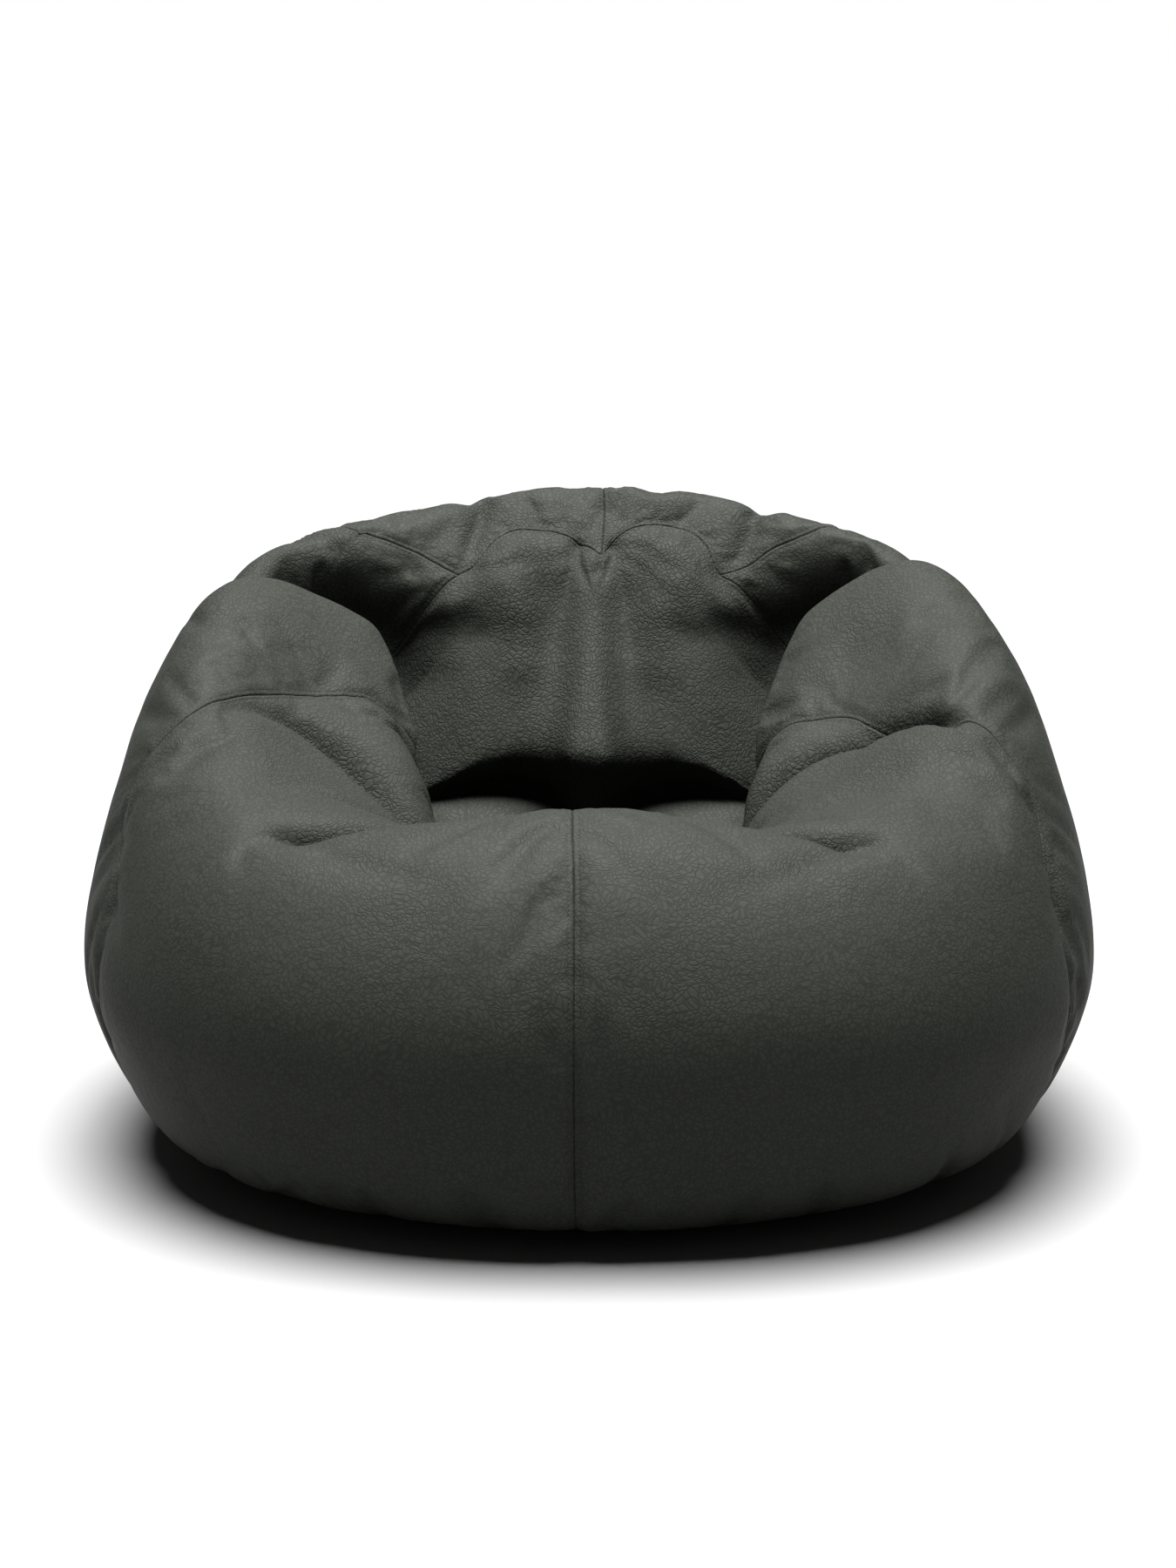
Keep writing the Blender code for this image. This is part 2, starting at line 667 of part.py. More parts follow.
def channel_bar(name, outline, length, frame):
    """A bar along local Y whose section is an outline in local X and Z."""
    count = len(outline)
    vertices = [frame @ Vector((x, -length, z)) for x, z in outline]
    vertices += [frame @ Vector((x, length, z)) for x, z in outline]
    faces = [list(range(count)), list(range(2 * count - 1, count - 1, -1))]
    for corner in range(count):
        beside = (corner + 1) % count
        faces.append([corner, corner + count, beside + count, beside])
    mesh = bpy.data.meshes.new(name)
    mesh.from_pydata(vertices, [], faces)
    face_out(mesh)
    node = bpy.data.objects.new(name, mesh)
    bpy.context.scene.collection.objects.link(node)
    return node


def slider_pieces(size, frame):
    """Two plates with edge flanges, the post between them, and the post's low end."""
    half = zip_half_width(size)
    top = zip_half_height(size)
    under = top - size["slider_wall"]
    slot = size["tape_thickness"] / 2 + RUN_GAP / 2
    inner = half - size["flange_width"]
    length = size["slider_length"] / 2
    outline = [(-half, slot), (-inner, slot), (-inner, under), (inner, under),
               (inner, slot), (half, slot), (half, top), (-half, top)]
    mirrored = [(x, -z) for x, z in outline]
    post_half = size["post_width"] / 2
    post_high = length - size["post_setback"]
    post_low = post_high - size["post_length"]
    sunk = under + size["slider_wall"] / 2
    pieces = [channel_bar("outer_plate", outline, length, frame),
              channel_bar("inner_plate", mirrored, length, frame),
              block("post", (-post_half, post_low, -sunk), (post_half, post_high, sunk), frame)]
    return pieces, post_low


def bridge_pieces(size, frame):
    """The bridge on the outer plate that the pull tab hangs from."""
    top = zip_half_height(size)
    reach = size["slider_length"] / 2 - BRIDGE_INSET
    half = BRIDGE_WIDTH / 2
    rise = top + BRIDGE_RISE
    pieces = [block("bridge_bar", (-half, -reach, rise), (half, reach, rise + BRIDGE_BAR), frame)]
    leg_half = half - BRIDGE_INSET / 2
    leg_low = top - size["slider_wall"] / 2
    leg_high = rise + BRIDGE_BAR / 2
    leg_end = reach - BRIDGE_INSET
    for y_low in (-leg_end, leg_end - BRIDGE_LEG):
        pieces.append(block("bridge_leg", (-leg_half, y_low, leg_low),
                            (leg_half, y_low + BRIDGE_LEG, leg_high), frame))
    return pieces


def make_pull_tab(size, frame):
    """A flat tab with an eye round the bridge, pivoting on a round bar under it."""
    pivot_height = zip_half_height(size) + BRIDGE_RISE / 2
    pivot = frame @ Vector((0.0, 0.0, pivot_height))
    local = frame.copy()
    local.translation = pivot
    window = BRIDGE_WIDTH / 2 + TAB_SIDE_GAP
    reach = size["slider_length"] / 2 + BRIDGE_LEG
    half = TAB_WIDTH / 2
    thick = TAB_THICKNESS / 2
    bar = bpy.data.meshes.new("tab_bar")
    shaped = bmesh.new()
    turn = Matrix.Rotation(math.pi / 2, 4, "Y")
    bmesh.ops.create_cone(shaped, cap_ends=True, segments=TAB_BAR_SIDES,
                          radius1=TAB_BAR_RADIUS, radius2=TAB_BAR_RADIUS,
                          depth=TAB_WIDTH - 4 * TAB_SIDE_INSET, matrix=local @ turn)
    shaped.to_mesh(bar)
    shaped.free()
    bar_node = bpy.data.objects.new("tab_bar", bar)
    bpy.context.scene.collection.objects.link(bar_node)
    pieces = [block("tab_plate", (-half, -TAB_LENGTH, -thick), (half, -reach, thick), local)]
    side_half = half - TAB_SIDE_INSET
    side_thick = thick - TAB_SIDE_INSET / 2
    for x_low in (-side_half, window):
        low = (x_low, -reach - thick, -side_thick)
        high = (x_low + side_half - window, TAB_BAR_RADIUS * TAB_SIDE_REACH, side_thick)
        pieces.append(block("tab_side", low, high, local))
    pieces.append(bar_node)
    return join_solids("cover_zip_pull_tab", pieces, "zip_metal", pivot)


def make_zip(label, size, radius, with_tab):
    """Tapes, coils, stops and slider of one zip; the slider rests at the top."""
    start = ZIP_LOW_ANGLE + ZIP_END_MARGIN / radius
    end = ZIP_HIGH_ANGLE - ZIP_END_MARGIN / radius
    coil_in = SEAM_GAP / 2
    coil_out = coil_in + size["coil_width"]
    tape_in = coil_out + SEAM_GAP
    tape_out = tape_in + size["tape_width"]
    coil_half = size["coil_thickness"] / 2
    tape_half = size["tape_thickness"] / 2
    stop = size["stop_length"] / radius
    gap = SEAM_GAP / radius
    slider_half = size["slider_length"] / 2 / radius
    slider_angle = end - stop - gap - slider_half
    frame = arc_frame(radius, slider_angle)
    pieces, post_low = slider_pieces(size, frame)
    if with_tab:
        pieces += bridge_pieces(size, frame)
    join_solids(f"{label}_slider", pieces, "zip_metal", ARC_CENTRE)
    coil_angles = angle_steps(start + stop + gap, slider_angle + post_low / radius - gap)
    for side, sign in (("right", -1.0), ("left", 1.0)):
        tape = (sign * tape_in, sign * tape_out)
        coil = (sign * coil_in, sign * coil_out)
        arc_strip(f"{label}_tape_{side}", tape, (-tape_half, tape_half),
                  angle_steps(start, end), radius, "zip_tape")
        arc_strip(f"{label}_coil_{side}", coil, (-coil_half, coil_half),
                  coil_angles, radius, "zip_nylon")
        arc_strip(f"{label}_top_stop_{side}", coil, (-coil_half, coil_half),
                  [end - stop, end], radius, "zip_metal")
    arc_strip(f"{label}_bottom_stop", (-coil_out, coil_out), (-coil_half, coil_half),
              [start, start + stop], radius, "zip_metal")
    if with_tab:
        make_pull_tab(size, frame)


# ------------------------------------------------------------------- care label
def make_label():
    """A blank folded label that lies on the outside of the right back gore."""
    place = surface(LABEL_AZIMUTH, LABEL_LEVEL)
    out = outward(LABEL_AZIMUTH, LABEL_LEVEL)
    across = out.cross(Vector((0.0, 0.0, 1.0))).normalized()
    along = out.cross(across)
    frame = Matrix((across, along, out)).transposed().to_4x4()
    frame.translation = place + out * LABEL_STAND_OFF
    low = (-LABEL_WIDTH / 2, -LABEL_LENGTH / 2, 0.0)
    high = (LABEL_WIDTH / 2, LABEL_LENGTH / 2, LABEL_THICKNESS)
    node = block("care_label", low, high, frame)
    node.data.materials.append(finish("label_cloth"))
    face_out(node.data)


def build():
    """Clear the scene and build every piece."""
    for old in list(bpy.data.objects):
        bpy.data.objects.remove(old, do_unlink=True)
    half = half_columns()
    levels = gore_levels()
    bag_levels = [PATCH_LEVEL] + levels + CAP_STEPS
    make_cover(half, levels)
    make_liner(half, bag_levels)
    make_fill(half, bag_levels)
    make_zip("cover_zip", COVER_ZIP, COVER_ZIP_RADIUS, with_tab=True)
    make_zip("liner_zip", LINER_ZIP, LINER_ZIP_RADIUS, with_tab=False)
    make_label()


build()
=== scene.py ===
import math

import bpy
import numpy as np
from mathutils.kdtree import KDTree
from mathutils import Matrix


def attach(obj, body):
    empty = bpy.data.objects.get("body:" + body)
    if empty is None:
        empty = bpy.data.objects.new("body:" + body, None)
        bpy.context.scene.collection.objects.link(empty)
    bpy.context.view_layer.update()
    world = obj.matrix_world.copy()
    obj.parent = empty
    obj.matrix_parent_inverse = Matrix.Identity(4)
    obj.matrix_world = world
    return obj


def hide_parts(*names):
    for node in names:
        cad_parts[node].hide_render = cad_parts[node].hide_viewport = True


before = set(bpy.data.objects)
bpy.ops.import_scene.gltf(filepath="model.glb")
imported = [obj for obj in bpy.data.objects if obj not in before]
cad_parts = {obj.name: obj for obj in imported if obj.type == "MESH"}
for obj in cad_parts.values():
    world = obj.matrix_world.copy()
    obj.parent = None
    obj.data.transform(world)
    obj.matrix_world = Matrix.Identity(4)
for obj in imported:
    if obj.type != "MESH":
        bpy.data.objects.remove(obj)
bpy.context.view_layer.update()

# A bean bag chair in faux leather: six gores, a scalloped seat cap and a base
# panel, sewn with topstitched seams over a zipped liner full of foam beads.
# Lengths are in metres, +Z is up and the front faces -Y.
MM = 0.001

# ------------------------------------------------------------------ main sizes
WIDTH = 1.000
DEPTH = 0.928
HEIGHT = 0.615
COVER_THICKNESS = 1.3 * MM
BACK_RADIUS = 0.350
ARC_HEIGHT = HEIGHT * 0.439
ARC_Y = DEPTH / 2 - BACK_RADIUS
ZIP_LOW_END = 0.045
ZIP_LENGTH = 0.397
FLOOR_ANGLE = -math.asin(ARC_HEIGHT / BACK_RADIUS)
ZIP_LOW_ANGLE = math.asin((ZIP_LOW_END - ARC_HEIGHT) / BACK_RADIUS)
ZIP_HIGH_ANGLE = ZIP_LOW_ANGLE + ZIP_LENGTH / BACK_RADIUS
OPENING_HALF = 6.6 * MM

# The form is a stack of rounded rings from the middle of the floor patch, out and
# up the sides, over the crest and down the inside to the middle of the seat. Each
# level gives half width, front reach and back reach as shares of half the width
# and depth, then the height as a share at 0, 30 ... 180 degrees round from the
# front.
RING_POWER = 2.3
LEVELS = np.array((
    (0.00, 0.00, 0.00, 0.0, 0.0, 0.0, 0.0, 0.0, 0.0, 0.0),
    (0.72, 0.69, 0.73, 0.0, 0.0, 0.0, 0.0, 0.0, 0.0, 0.0),
    (0.885, 0.90, 0.82, 0.072, 0.076, 0.085, 0.090, 0.085, 0.078, 0.073),
    (0.984, 0.978, 0.95, 0.244, 0.244, 0.244, 0.244, 0.250, 0.257, 0.260),
    (1.000, 0.996, 1.00, 0.360, 0.360, 0.360, 0.380, 0.410, 0.445, 0.470),
    (0.950, 0.930, 0.93, 0.480, 0.475, 0.510, 0.565, 0.630, 0.668, 0.680),
    (0.865, 0.790, 0.83, 0.595, 0.580, 0.630, 0.735, 0.820, 0.860, 0.870),
    (0.750, 0.640, 0.70, 0.640, 0.615, 0.660, 0.810, 0.915, 0.972, 1.003),
    (0.550, 0.506, 0.64, 0.626, 0.590, 0.600, 0.690, 0.800, 0.915, 0.960),
    (0.350, 0.388, 0.58, 0.577, 0.540, 0.530, 0.610, 0.690, 0.845, 0.900),
    (0.240, 0.259, 0.45, 0.488, 0.470, 0.460, 0.500, 0.585, 0.690, 0.740),
    (0.130, 0.129, 0.26, 0.430, 0.420, 0.415, 0.430, 0.463, 0.530, 0.553),
    (0.000, 0.000, 0.00, 0.410, 0.410, 0.410, 0.410, 0.410, 0.410, 0.410),
))
FLOOR_LEVEL = 1
ZIP_LOW_LEVEL = 2
ZIP_HIGH_LEVEL = 5
CAP_BASE_LEVEL = 9
SEAT_LEVEL = 12
SEAT_SETBACK = 0.030

# ----------------------------------------------------------- seams on the form
# Each seam is a line of (azimuth, level) points. Azimuth runs from the front
# round +X, so that positive is the right side.
FRONT_SEAM = ((-1.5, 1.0), (-1.5, 5.0), (-2.0, 6.5), (-2.5, 7.5), (-4.0, 9.8))
ARM_SEAM_RIGHT = (
    (70, 1.0), (68, 2.0), (62.5, 4.0), (64.5, 4.6), (65.5, 5.0), (69.5, 5.5), (70.5, 6.0),
    (71.5, 6.5), (73, 6.9), (74, 7.25), (80, 7.6), (87, 7.88), (94, 8.14), (98, 8.45),
    (101.5, 8.8), (104, 9.04), (105.5, 9.3))
ARM_SEAM_LEFT = (
    (-72, 1.0), (-70, 2.0), (-66.5, 4.3), (-67, 4.7), (-72, 5.0), (-75, 5.4), (-75, 6.0),
    (-75.5, 6.66), (-79.5, 7.16), (-87.5, 7.54), (-97, 7.92), (-102.5, 8.28), (-105, 8.5),
    (-107, 9.0), (-107.5, 9.2))
REAR_SEAM_RIGHT = ((138, 1.0), (138, 6.0), (139, 7.22), (142, 7.7), (143, 8.04), (144.5, 8.42))
REAR_SEAM_LEFT = (
    (-138, 1.0), (-138, 6.8), (-138, 7.16), (-140.5, 7.52), (-143.5, 7.9), (-144.5, 8.45))
BACK_SEAM = ((180, 1.0), (180, 5.4), (179, 6.2), (177.5, 7.12), (176, 8.28), (174.8, 9.06))
# The cap seam is scalloped over the backrest and plain round the seat.
CAP_SEAM = (
    (-177, 8.9), (-173, 8.7), (-167, 8.42), (-161.5, 8.24), (-157, 8.28), (-152, 8.42),
    (-148, 8.5), (-144.5, 8.45), (-140, 8.42), (-132.5, 8.46), (-127, 8.56), (-120, 8.72),
    (-107, 9.25), (-100, 9.55), (-92, 9.75), (-60, 9.8), (0, 9.8), (60, 9.8), (91.5, 9.7),
    (105, 9.28), (118, 8.75), (126.5, 8.5), (132, 8.39), (137.5, 8.34), (141.5, 8.36),
    (144.5, 8.42), (147.5, 8.34), (152, 8.16), (157.5, 8.03), (163.5, 8.12), (168, 8.4),
    (171, 8.74), (174.8, 9.06), (178, 9.02))

# ------------------------------------------------------------------- the folds
# Each fold: path of (azimuth, level), its width and depth in mm (below zero is a
# valley, above zero a bulge), strength along the path, and how far in mm the lobe
# beside it leans over it (above zero from the back's or the crest's side, below zero
# from the other). A last number is how far the valley runs in under that lobe.
FOLDS = (
    # creases between the arms and the backrest
    (((123, 6.6), (125, 6.9), (128, 7.3), (131, 7.75), (131.5, 8.15), (128, 8.6), (121.5, 9.05),
      (115, 9.5), (107, 10.0), (96, 10.7)), 30, -92, (0.12, 0.2, 0.42, 0.75, 1, 1, 1, 1, 0.9, 0.6), -14, -24),
    (((-116, 6.55), (-119, 6.9), (-124, 7.35), (-129, 7.8), (-130.5, 8.2), (-127, 8.62),
      (-120.5, 9.05), (-114, 9.5), (-106, 10.0), (-96, 10.7)), 30, -92,
     (0.12, 0.2, 0.42, 0.75, 1, 1, 1, 1, 0.9, 0.6), -14, -24),
    (((131, 8.6), (125, 9.2), (118, 9.8), (110, 10.4)), 38, -44, (0.5, 1, 1, 0.9), 0, -34),
    (((-130, 8.6), (-124, 9.2), (-117, 9.8), (-110, 10.4)), 38, -44, (0.5, 1, 1, 0.9), 0, -34),
    # the inner walls of the arms, low down
    (((106, 8.8), (99, 9.4), (90, 10.1), (78, 10.7)), 40, -40, (0.2, 1, 1, 0.5), 0),
    (((-106, 8.8), (-99, 9.4), (-90, 10.1), (-78, 10.7)), 40, -44, (0.2, 1, 1, 0.5), 0),
    # the firm ridge along the inside of each arm
    (((108, 7.2), (112, 7.7), (111, 8.15), (104, 8.6), (95, 9.0), (88, 9.5)), 32, 8,
     (0.2, 0.8, 1, 1, 0.6, 0.2), 0),
    (((-103, 7.2), (-108, 7.7), (-107, 8.15), (-100, 8.6), (-92, 9.0), (-86, 9.5)), 32, 8,
     (0.2, 0.8, 1, 1, 0.6, 0.2), 0),
    # valleys under the arm seams, with the front lobes beside them
    (((74, 7.15), (78.5, 7.5), (83, 7.95), (84, 8.45), (79, 8.95), (72, 9.5)), 22, -44,
     (0.25, 0.8, 1, 1, 0.9, 0.7), -26),
    (((-79, 7.3), (-85.5, 7.8), (-83.5, 8.2), (-76, 8.55), (-68, 8.9), (-60, 9.4)), 22, -26,
     (0.2, 0.7, 1, 1, 0.8, 0.5), -8),
    (((62, 6.8), (65, 7.3), (65, 7.8), (60, 8.3)), 36, 12, (0.4, 1, 1, 0.7), 0),
    (((-60, 6.8), (-63, 7.3), (-60, 7.9), (-52, 8.3)), 40, 9, (0.4, 1, 1, 0.7), 0),
    # the tucks at the ends of the front roll
    (((38, 6.3), (33, 6.58), (29, 6.95), (26, 7.4), (24, 8.1)), 19, -26, (0.3, 0.9, 1, 1, 0.6), -10),
    (((-43, 6.3), (-38, 6.58), (-33, 6.95), (-30, 7.4), (-28, 8.1)), 19, -26, (0.3, 0.9, 1, 1, 0.6), -10),
    (((37, 6.3), (26, 5.98), (17, 5.7)), 26, -6, (0.8, 1, 0.3), 0),
    (((-41, 6.35), (-29, 6.05), (-19, 5.8)), 26, -6, (0.8, 1, 0.3), 0),
    (((-24, 6.9), (0, 6.95), (22, 6.9)), 60, 4, (0.6, 1, 0.6), 0),
    # the ridge down the middle of the back cushion, its chin, and the slots by its top
    (((177, 9.3), (178, 9.8), (178, 10.3), (178, 10.9)), 29, 32, (0.3, 0.7, 1, 1), 0),
    (((-176.5, 8.95), (-173, 9.3), (-169, 9.7)), 12, -10, (1, 0.8, 0), 0),
    (((171.5, 8.95), (168.5, 9.25), (163, 9.7)), 12, -10, (1, 0.8, 0), 0),
    # where the back cushion turns under, over the seat
    (((110, 10.1), (123, 10.3), (138, 10.75), (158, 11.3), (178, 11.65), (-160, 11.3), (-140, 10.75),
      (-123, 10.3), (-110, 10.1)), 32, -56, (0.7, 1, 1, 1, 1, 1, 1, 1, 0.7), 18, 22),
    # the puffed bottom of the back cushion, and the slots down its two sides
    (((140, 9.9), (158, 10.5), (178, 10.9), (-160, 10.5), (-140, 9.9)), 44, 15, (0.4, 0.9, 1.1, 0.9, 0.4), 0),
    (((131, 7.5), (135.5, 8.0), (135, 8.5), (130.5, 9.1), (124, 9.7), (116, 10.3)), 20, -56,
     (0.3, 0.7, 1, 1, 1, 0.8), 0),
    (((-129, 7.5), (-134.5, 8.05), (-134, 8.5), (-129.5, 9.1), (-123, 9.7), (-116, 10.3)), 20, -56,
     (0.3, 0.7, 1, 1, 1, 0.8), 0),
    (((152, 8.9), (151, 9.4), (150, 9.8)), 30, 16, (0.4, 1, 0.7), 0),
    (((-152, 8.9), (-151, 9.4), (-150, 9.8)), 30, 16, (0.4, 1, 0.7), 0),
    # the bottom of the seat, sunk behind the lip
    (((0, 10.9), (0, 11.4), (0, 11.9)), 100, -100, (0.7, 1, 1), 0),
    (((60, 10.8), (30, 11.3), (-30, 11.3), (-60, 10.8)), 50, -30, (0.6, 1, 1, 0.6), 0),
    # the lobes under the scallops, and the soft hollows below them
    (((150, 8.75), (160, 8.75), (168, 9.0)), 44, 14, (0.9, 1, 0.8), 0),
    (((-150, 8.85), (-160, 8.8), (-169, 9.0)), 44, 14, (0.9, 1, 0.8), 0),
    (((134, 9.0), (141, 9.3), (150, 9.4)), 22, -3, (0.4, 1, 0.4), 0),
    # soft valleys that run from the scallop corners up over the crest
    (((144, 8.4), (146, 8.0), (149.5, 7.4), (151, 7.0), (152, 6.4)), 22, -9, (0.8, 0.9, 1, 0.8, 0.3), 0),
    (((-147, 8.5), (-154, 8.05), (-159, 7.6), (-160, 7.2), (-160, 6.4)), 22, -9, (0.8, 0.9, 1, 0.8, 0.3), 0),
    (((-168, 8.3), (-168, 7.8), (-168, 7.4)), 16, -2.5, (1, 0.8, 0.4), 0),
    (((160, 8.1), (160, 7.7), (160, 7.3)), 16, -2.5, (1, 0.8, 0.4), 0),
    (((-131, 7.9), (-132.5, 7.3), (-132, 6.7)), 22, -5, (0.5, 1, 0.5), 0),
    # small folds over the tops of the arms
    (((-85, 6.1), (-89.5, 7.1), (-104, 7.6), (-112, 7.9)), 13, 1.6, (0.3, 1, 1, 0), 0),
    (((-90.5, 6.4), (-99, 7.2), (-110, 7.5)), 13, 1.4, (0.3, 1, 0), 0),
    (((-83, 6.0), (-84, 6.85), (-93, 7.35)), 12, -1.4, (0.4, 1, 0), 0),
    (((76, 7.0), (87, 6.3), (94, 5.8)), 13, 2.4, (1, 0.8, 0), 0),
    (((76, 7.12), (90, 6.75), (99, 6.2)), 12, -2.2, (1, 0.7, 0), 0),
    (((94, 7.5), (104, 7.45), (109, 6.9)), 15, 1.6, (0.3, 1, 0), 0),
    # pinches along the arm seams at the sides, and gathers above the base seam
    (((68, 5.5), (65.5, 5.0), (64, 4.5)), 17, -7, (0.5, 1, 0.6), 0),
    (((-78, 5.2), (-71, 5.0), (-67, 4.6)), 17, -6, (0.5, 1, 0.6), 0),
    (((47.5, 1.9), (42, 2.5)), 12, -3, (1, 0.3), 0),
    (((58, 2.0), (51, 2.7)), 12, -3, (1, 0.3), 0),
    (((-53, 1.7), (-44, 2.2), (-37, 2.5)), 13, -3, (1, 0.7, 0.2), 0),
    (((-43.5, 1.6), (-35, 2.1)), 11, -3, (1, 0.3), 0),
    (((95, 2.0), (101, 3.0)), 15, -4, (1, 0.3), 0),
    (((-96, 2.0), (-103, 3.1)), 15, -4, (1, 0.3), 0),
    (((126, 1.8), (121, 3.2)), 16, -5, (1, 0.3), 0),
    (((-125, 1.8), (-119, 3.2)), 16, -5, (1, 0.3), 0),
    (((152, 2.0), (146, 3.4)), 16, -4, (1, 0.3), 0),
    (((-154, 2.0), (-147, 3.6)), 16, -4, (1, 0.3), 0),
    (((118, 6.0), (112, 5.2), (110, 4.2)), 28, -6, (0.8, 0.7, 0.2), 0),
    (((-113, 6.0), (-110, 5.2), (-108, 4.2)), 28, -6, (0.8, 0.7, 0.2), 0),
)


# ----------------------------------------------------------------- master form
def rings():
    """The levels in metres, with the rear centre line put on its arc."""
    rows = LEVELS.copy()
    rows[:, 0] *= WIDTH / 2
    rows[:, 1:3] *= DEPTH / 2
    rows[:, 3:] *= HEIGHT
    for level in range(FLOOR_LEVEL, ZIP_HIGH_LEVEL + 1):
        rows[level, 2], rows[level, -1] = back_point(np.array(float(level)))
    return rows


def back_point(level):
    """Reach and height of the rear centre line between the floor and the zip's top."""
    low = FLOOR_ANGLE + (level - 1) * (ZIP_LOW_ANGLE - FLOOR_ANGLE)
    high = ZIP_LOW_ANGLE + (level - 2) / 3 * (ZIP_HIGH_ANGLE - ZIP_LOW_ANGLE)
    angle = np.where(level < ZIP_LOW_LEVEL, low, high)
    height = ARC_HEIGHT + BACK_RADIUS * np.sin(angle)
    return ARC_Y + BACK_RADIUS * np.cos(angle), np.maximum(height, 0.0)


ROWS = rings()


def catmull(before, start, end, after, share):
    """Smooth value between start and end."""
    slope_in = (end - before) / 2
    slope_out = (after - start) / 2
    cubic = 2 * start - 2 * end + slope_in + slope_out
    square = 3 * end - 3 * start - 2 * slope_in - slope_out
    return ((cubic * share + square) * share + slope_in) * share + start


def form(azimuth, level):
    """Points of the plain form, for arrays of azimuth and level."""
    azimuth, level = np.broadcast_arrays(np.asarray(azimuth, float), np.asarray(level, float))
    last = len(ROWS) - 1
    index = np.clip(level.astype(int), 0, last - 1)
    share = (level - index)[..., None]
    before = np.where((index > 1)[..., None], ROWS[np.maximum(index - 1, 0)],
                      2 * ROWS[index] - ROWS[index + 1])
    values = catmull(before, ROWS[index], ROWS[index + 1], ROWS[np.minimum(index + 2, last)], share)
    values = np.where((level <= FLOOR_LEVEL)[..., None], ROWS[1] * level[..., None], values)
    on_arc = (level > FLOOR_LEVEL) & (level <= ZIP_HIGH_LEVEL)
    arc_reach, arc_height = back_point(level)
    values[..., 2] = np.where(on_arc, arc_reach, values[..., 2])
    values[..., -1] = np.where(on_arc, arc_height, values[..., -1])
    turn = azimuth % 360.0
    side = np.minimum(turn, 360.0 - turn)
    sine, cosine = np.sin(np.radians(turn)), np.cos(np.radians(turn))
    size = (np.abs(sine) ** RING_POWER + np.abs(cosine) ** RING_POWER) ** (-1 / RING_POWER)
    reach = np.where(cosine > 0, values[..., 1], values[..., 2])
    heights = values[..., 3:]
    sixth = side / 30.0
    step = np.minimum(sixth.astype(int), 5)

    def height_at(place):
        place = np.abs(place)
        place = np.where(place > 6, 12 - place, place)
        return np.take_along_axis(heights, place[..., None], -1)[..., 0]

    z = catmull(height_at(step - 1), height_at(step), height_at(step + 1), height_at(step + 2),
                sixth - step)
    y = -reach * cosine * size + SEAT_SETBACK * np.maximum(level - CAP_BASE_LEVEL, 0) / 3
    return np.stack([values[..., 0] * sine * size, y, np.maximum(z, 0.0)], -1)


def unit(vectors):
    """Vectors made one unit long."""
    return vectors / np.maximum(np.linalg.norm(vectors, axis=-1, keepdims=True), 1e-12)


def facing(azimuth, level):
    """Outward unit normals of the plain form."""
    level = np.clip(level, FLOOR_LEVEL + 0.02, SEAT_LEVEL - 0.06)
    across = form(azimuth + 1.0, level) - form(azimuth - 1.0, level)
    along = form(azimuth, level + 0.03) - form(azimuth, level - 0.03)
    return unit(np.cross(across, along))


def smooth_path(path, steps):
    """Points along a smooth curve through the path's own points."""
    path = np.array(path, float)
    path[:, 0] = np.degrees(np.unwrap(np.radians(path[:, 0])))
    padded = np.vstack([2 * path[0] - path[1], path, 2 * path[-1] - path[-2]])
    share = np.linspace(0, 1, steps, endpoint=False)[:, None]
    pieces = [catmull(padded[i], padded[i + 1], padded[i + 2], padded[i + 3], share)
              for i in range(len(path) - 1)]
    return np.vstack(pieces + [path[-1:]])


def seam_azimuth(seam, level):
    """Azimuth of a seam at the given levels."""
    line = smooth_path(seam, 12)
    order = np.argsort(line[:, 1])
    return np.interp(level, line[order, 1], line[order, 0])


CAP_LINE = smooth_path(CAP_SEAM, 6)


def cap_level(azimuth):
    """Level of the cap seam at the given azimuths."""
    wrapped = (np.asarray(azimuth, float) + 180.0) % 360.0 - 180.0
    line = CAP_LINE[np.argsort(CAP_LINE[:, 0])]
    return np.interp(wrapped, line[:, 0], line[:, 1], period=360.0)


# ---------------------------------------------------------------------- noise
def hashed(cells, seed):
    """A repeatable number from -1 to 1 for each cell of a lattice."""
    mixed = cells[..., 0] * 374761393 + cells[..., 1] * 668265263 + cells[..., 2] * 1442695041
    mixed = (mixed + seed * 974711) & 0xFFFFFFFF
    mixed = ((mixed ^ (mixed >> 13)) * 1274126177) & 0xFFFFFFFF
    mixed = mixed ^ (mixed >> 16)
    return (mixed & 0xFFFF) / 32767.5 - 1.0


def noise(points, size, seed):
    """Smooth noise from -1 to 1 with blobs of about the given size."""
    place = points / size
    cell = np.floor(place).astype(np.int64)
    share = place - cell
    share = share * share * share * (share * (share * 6 - 15) + 10)
    total = np.zeros(points.shape[:-1])
    for corner in range(8):
        step = np.array([corner & 1, corner >> 1 & 1, corner >> 2 & 1])
        weight = np.prod(np.where(step, share, 1 - share), axis=-1)
        total += weight * hashed(cell + step, seed)
    return total


# ----------------------------------------------------------- folds on the form
UNDERCUT_SHARE = 0.6            # of a fold's lean, where no undercut is given
LOBE_OFFSET, LOBE_SPREAD, LOBE_REACH = 1.3, 1.2, 3.0    # in fold widths
STRAIN_SPREAD = 1.6             # in fold widths
FULL_STRAIN_DEPTH = 12 * MM


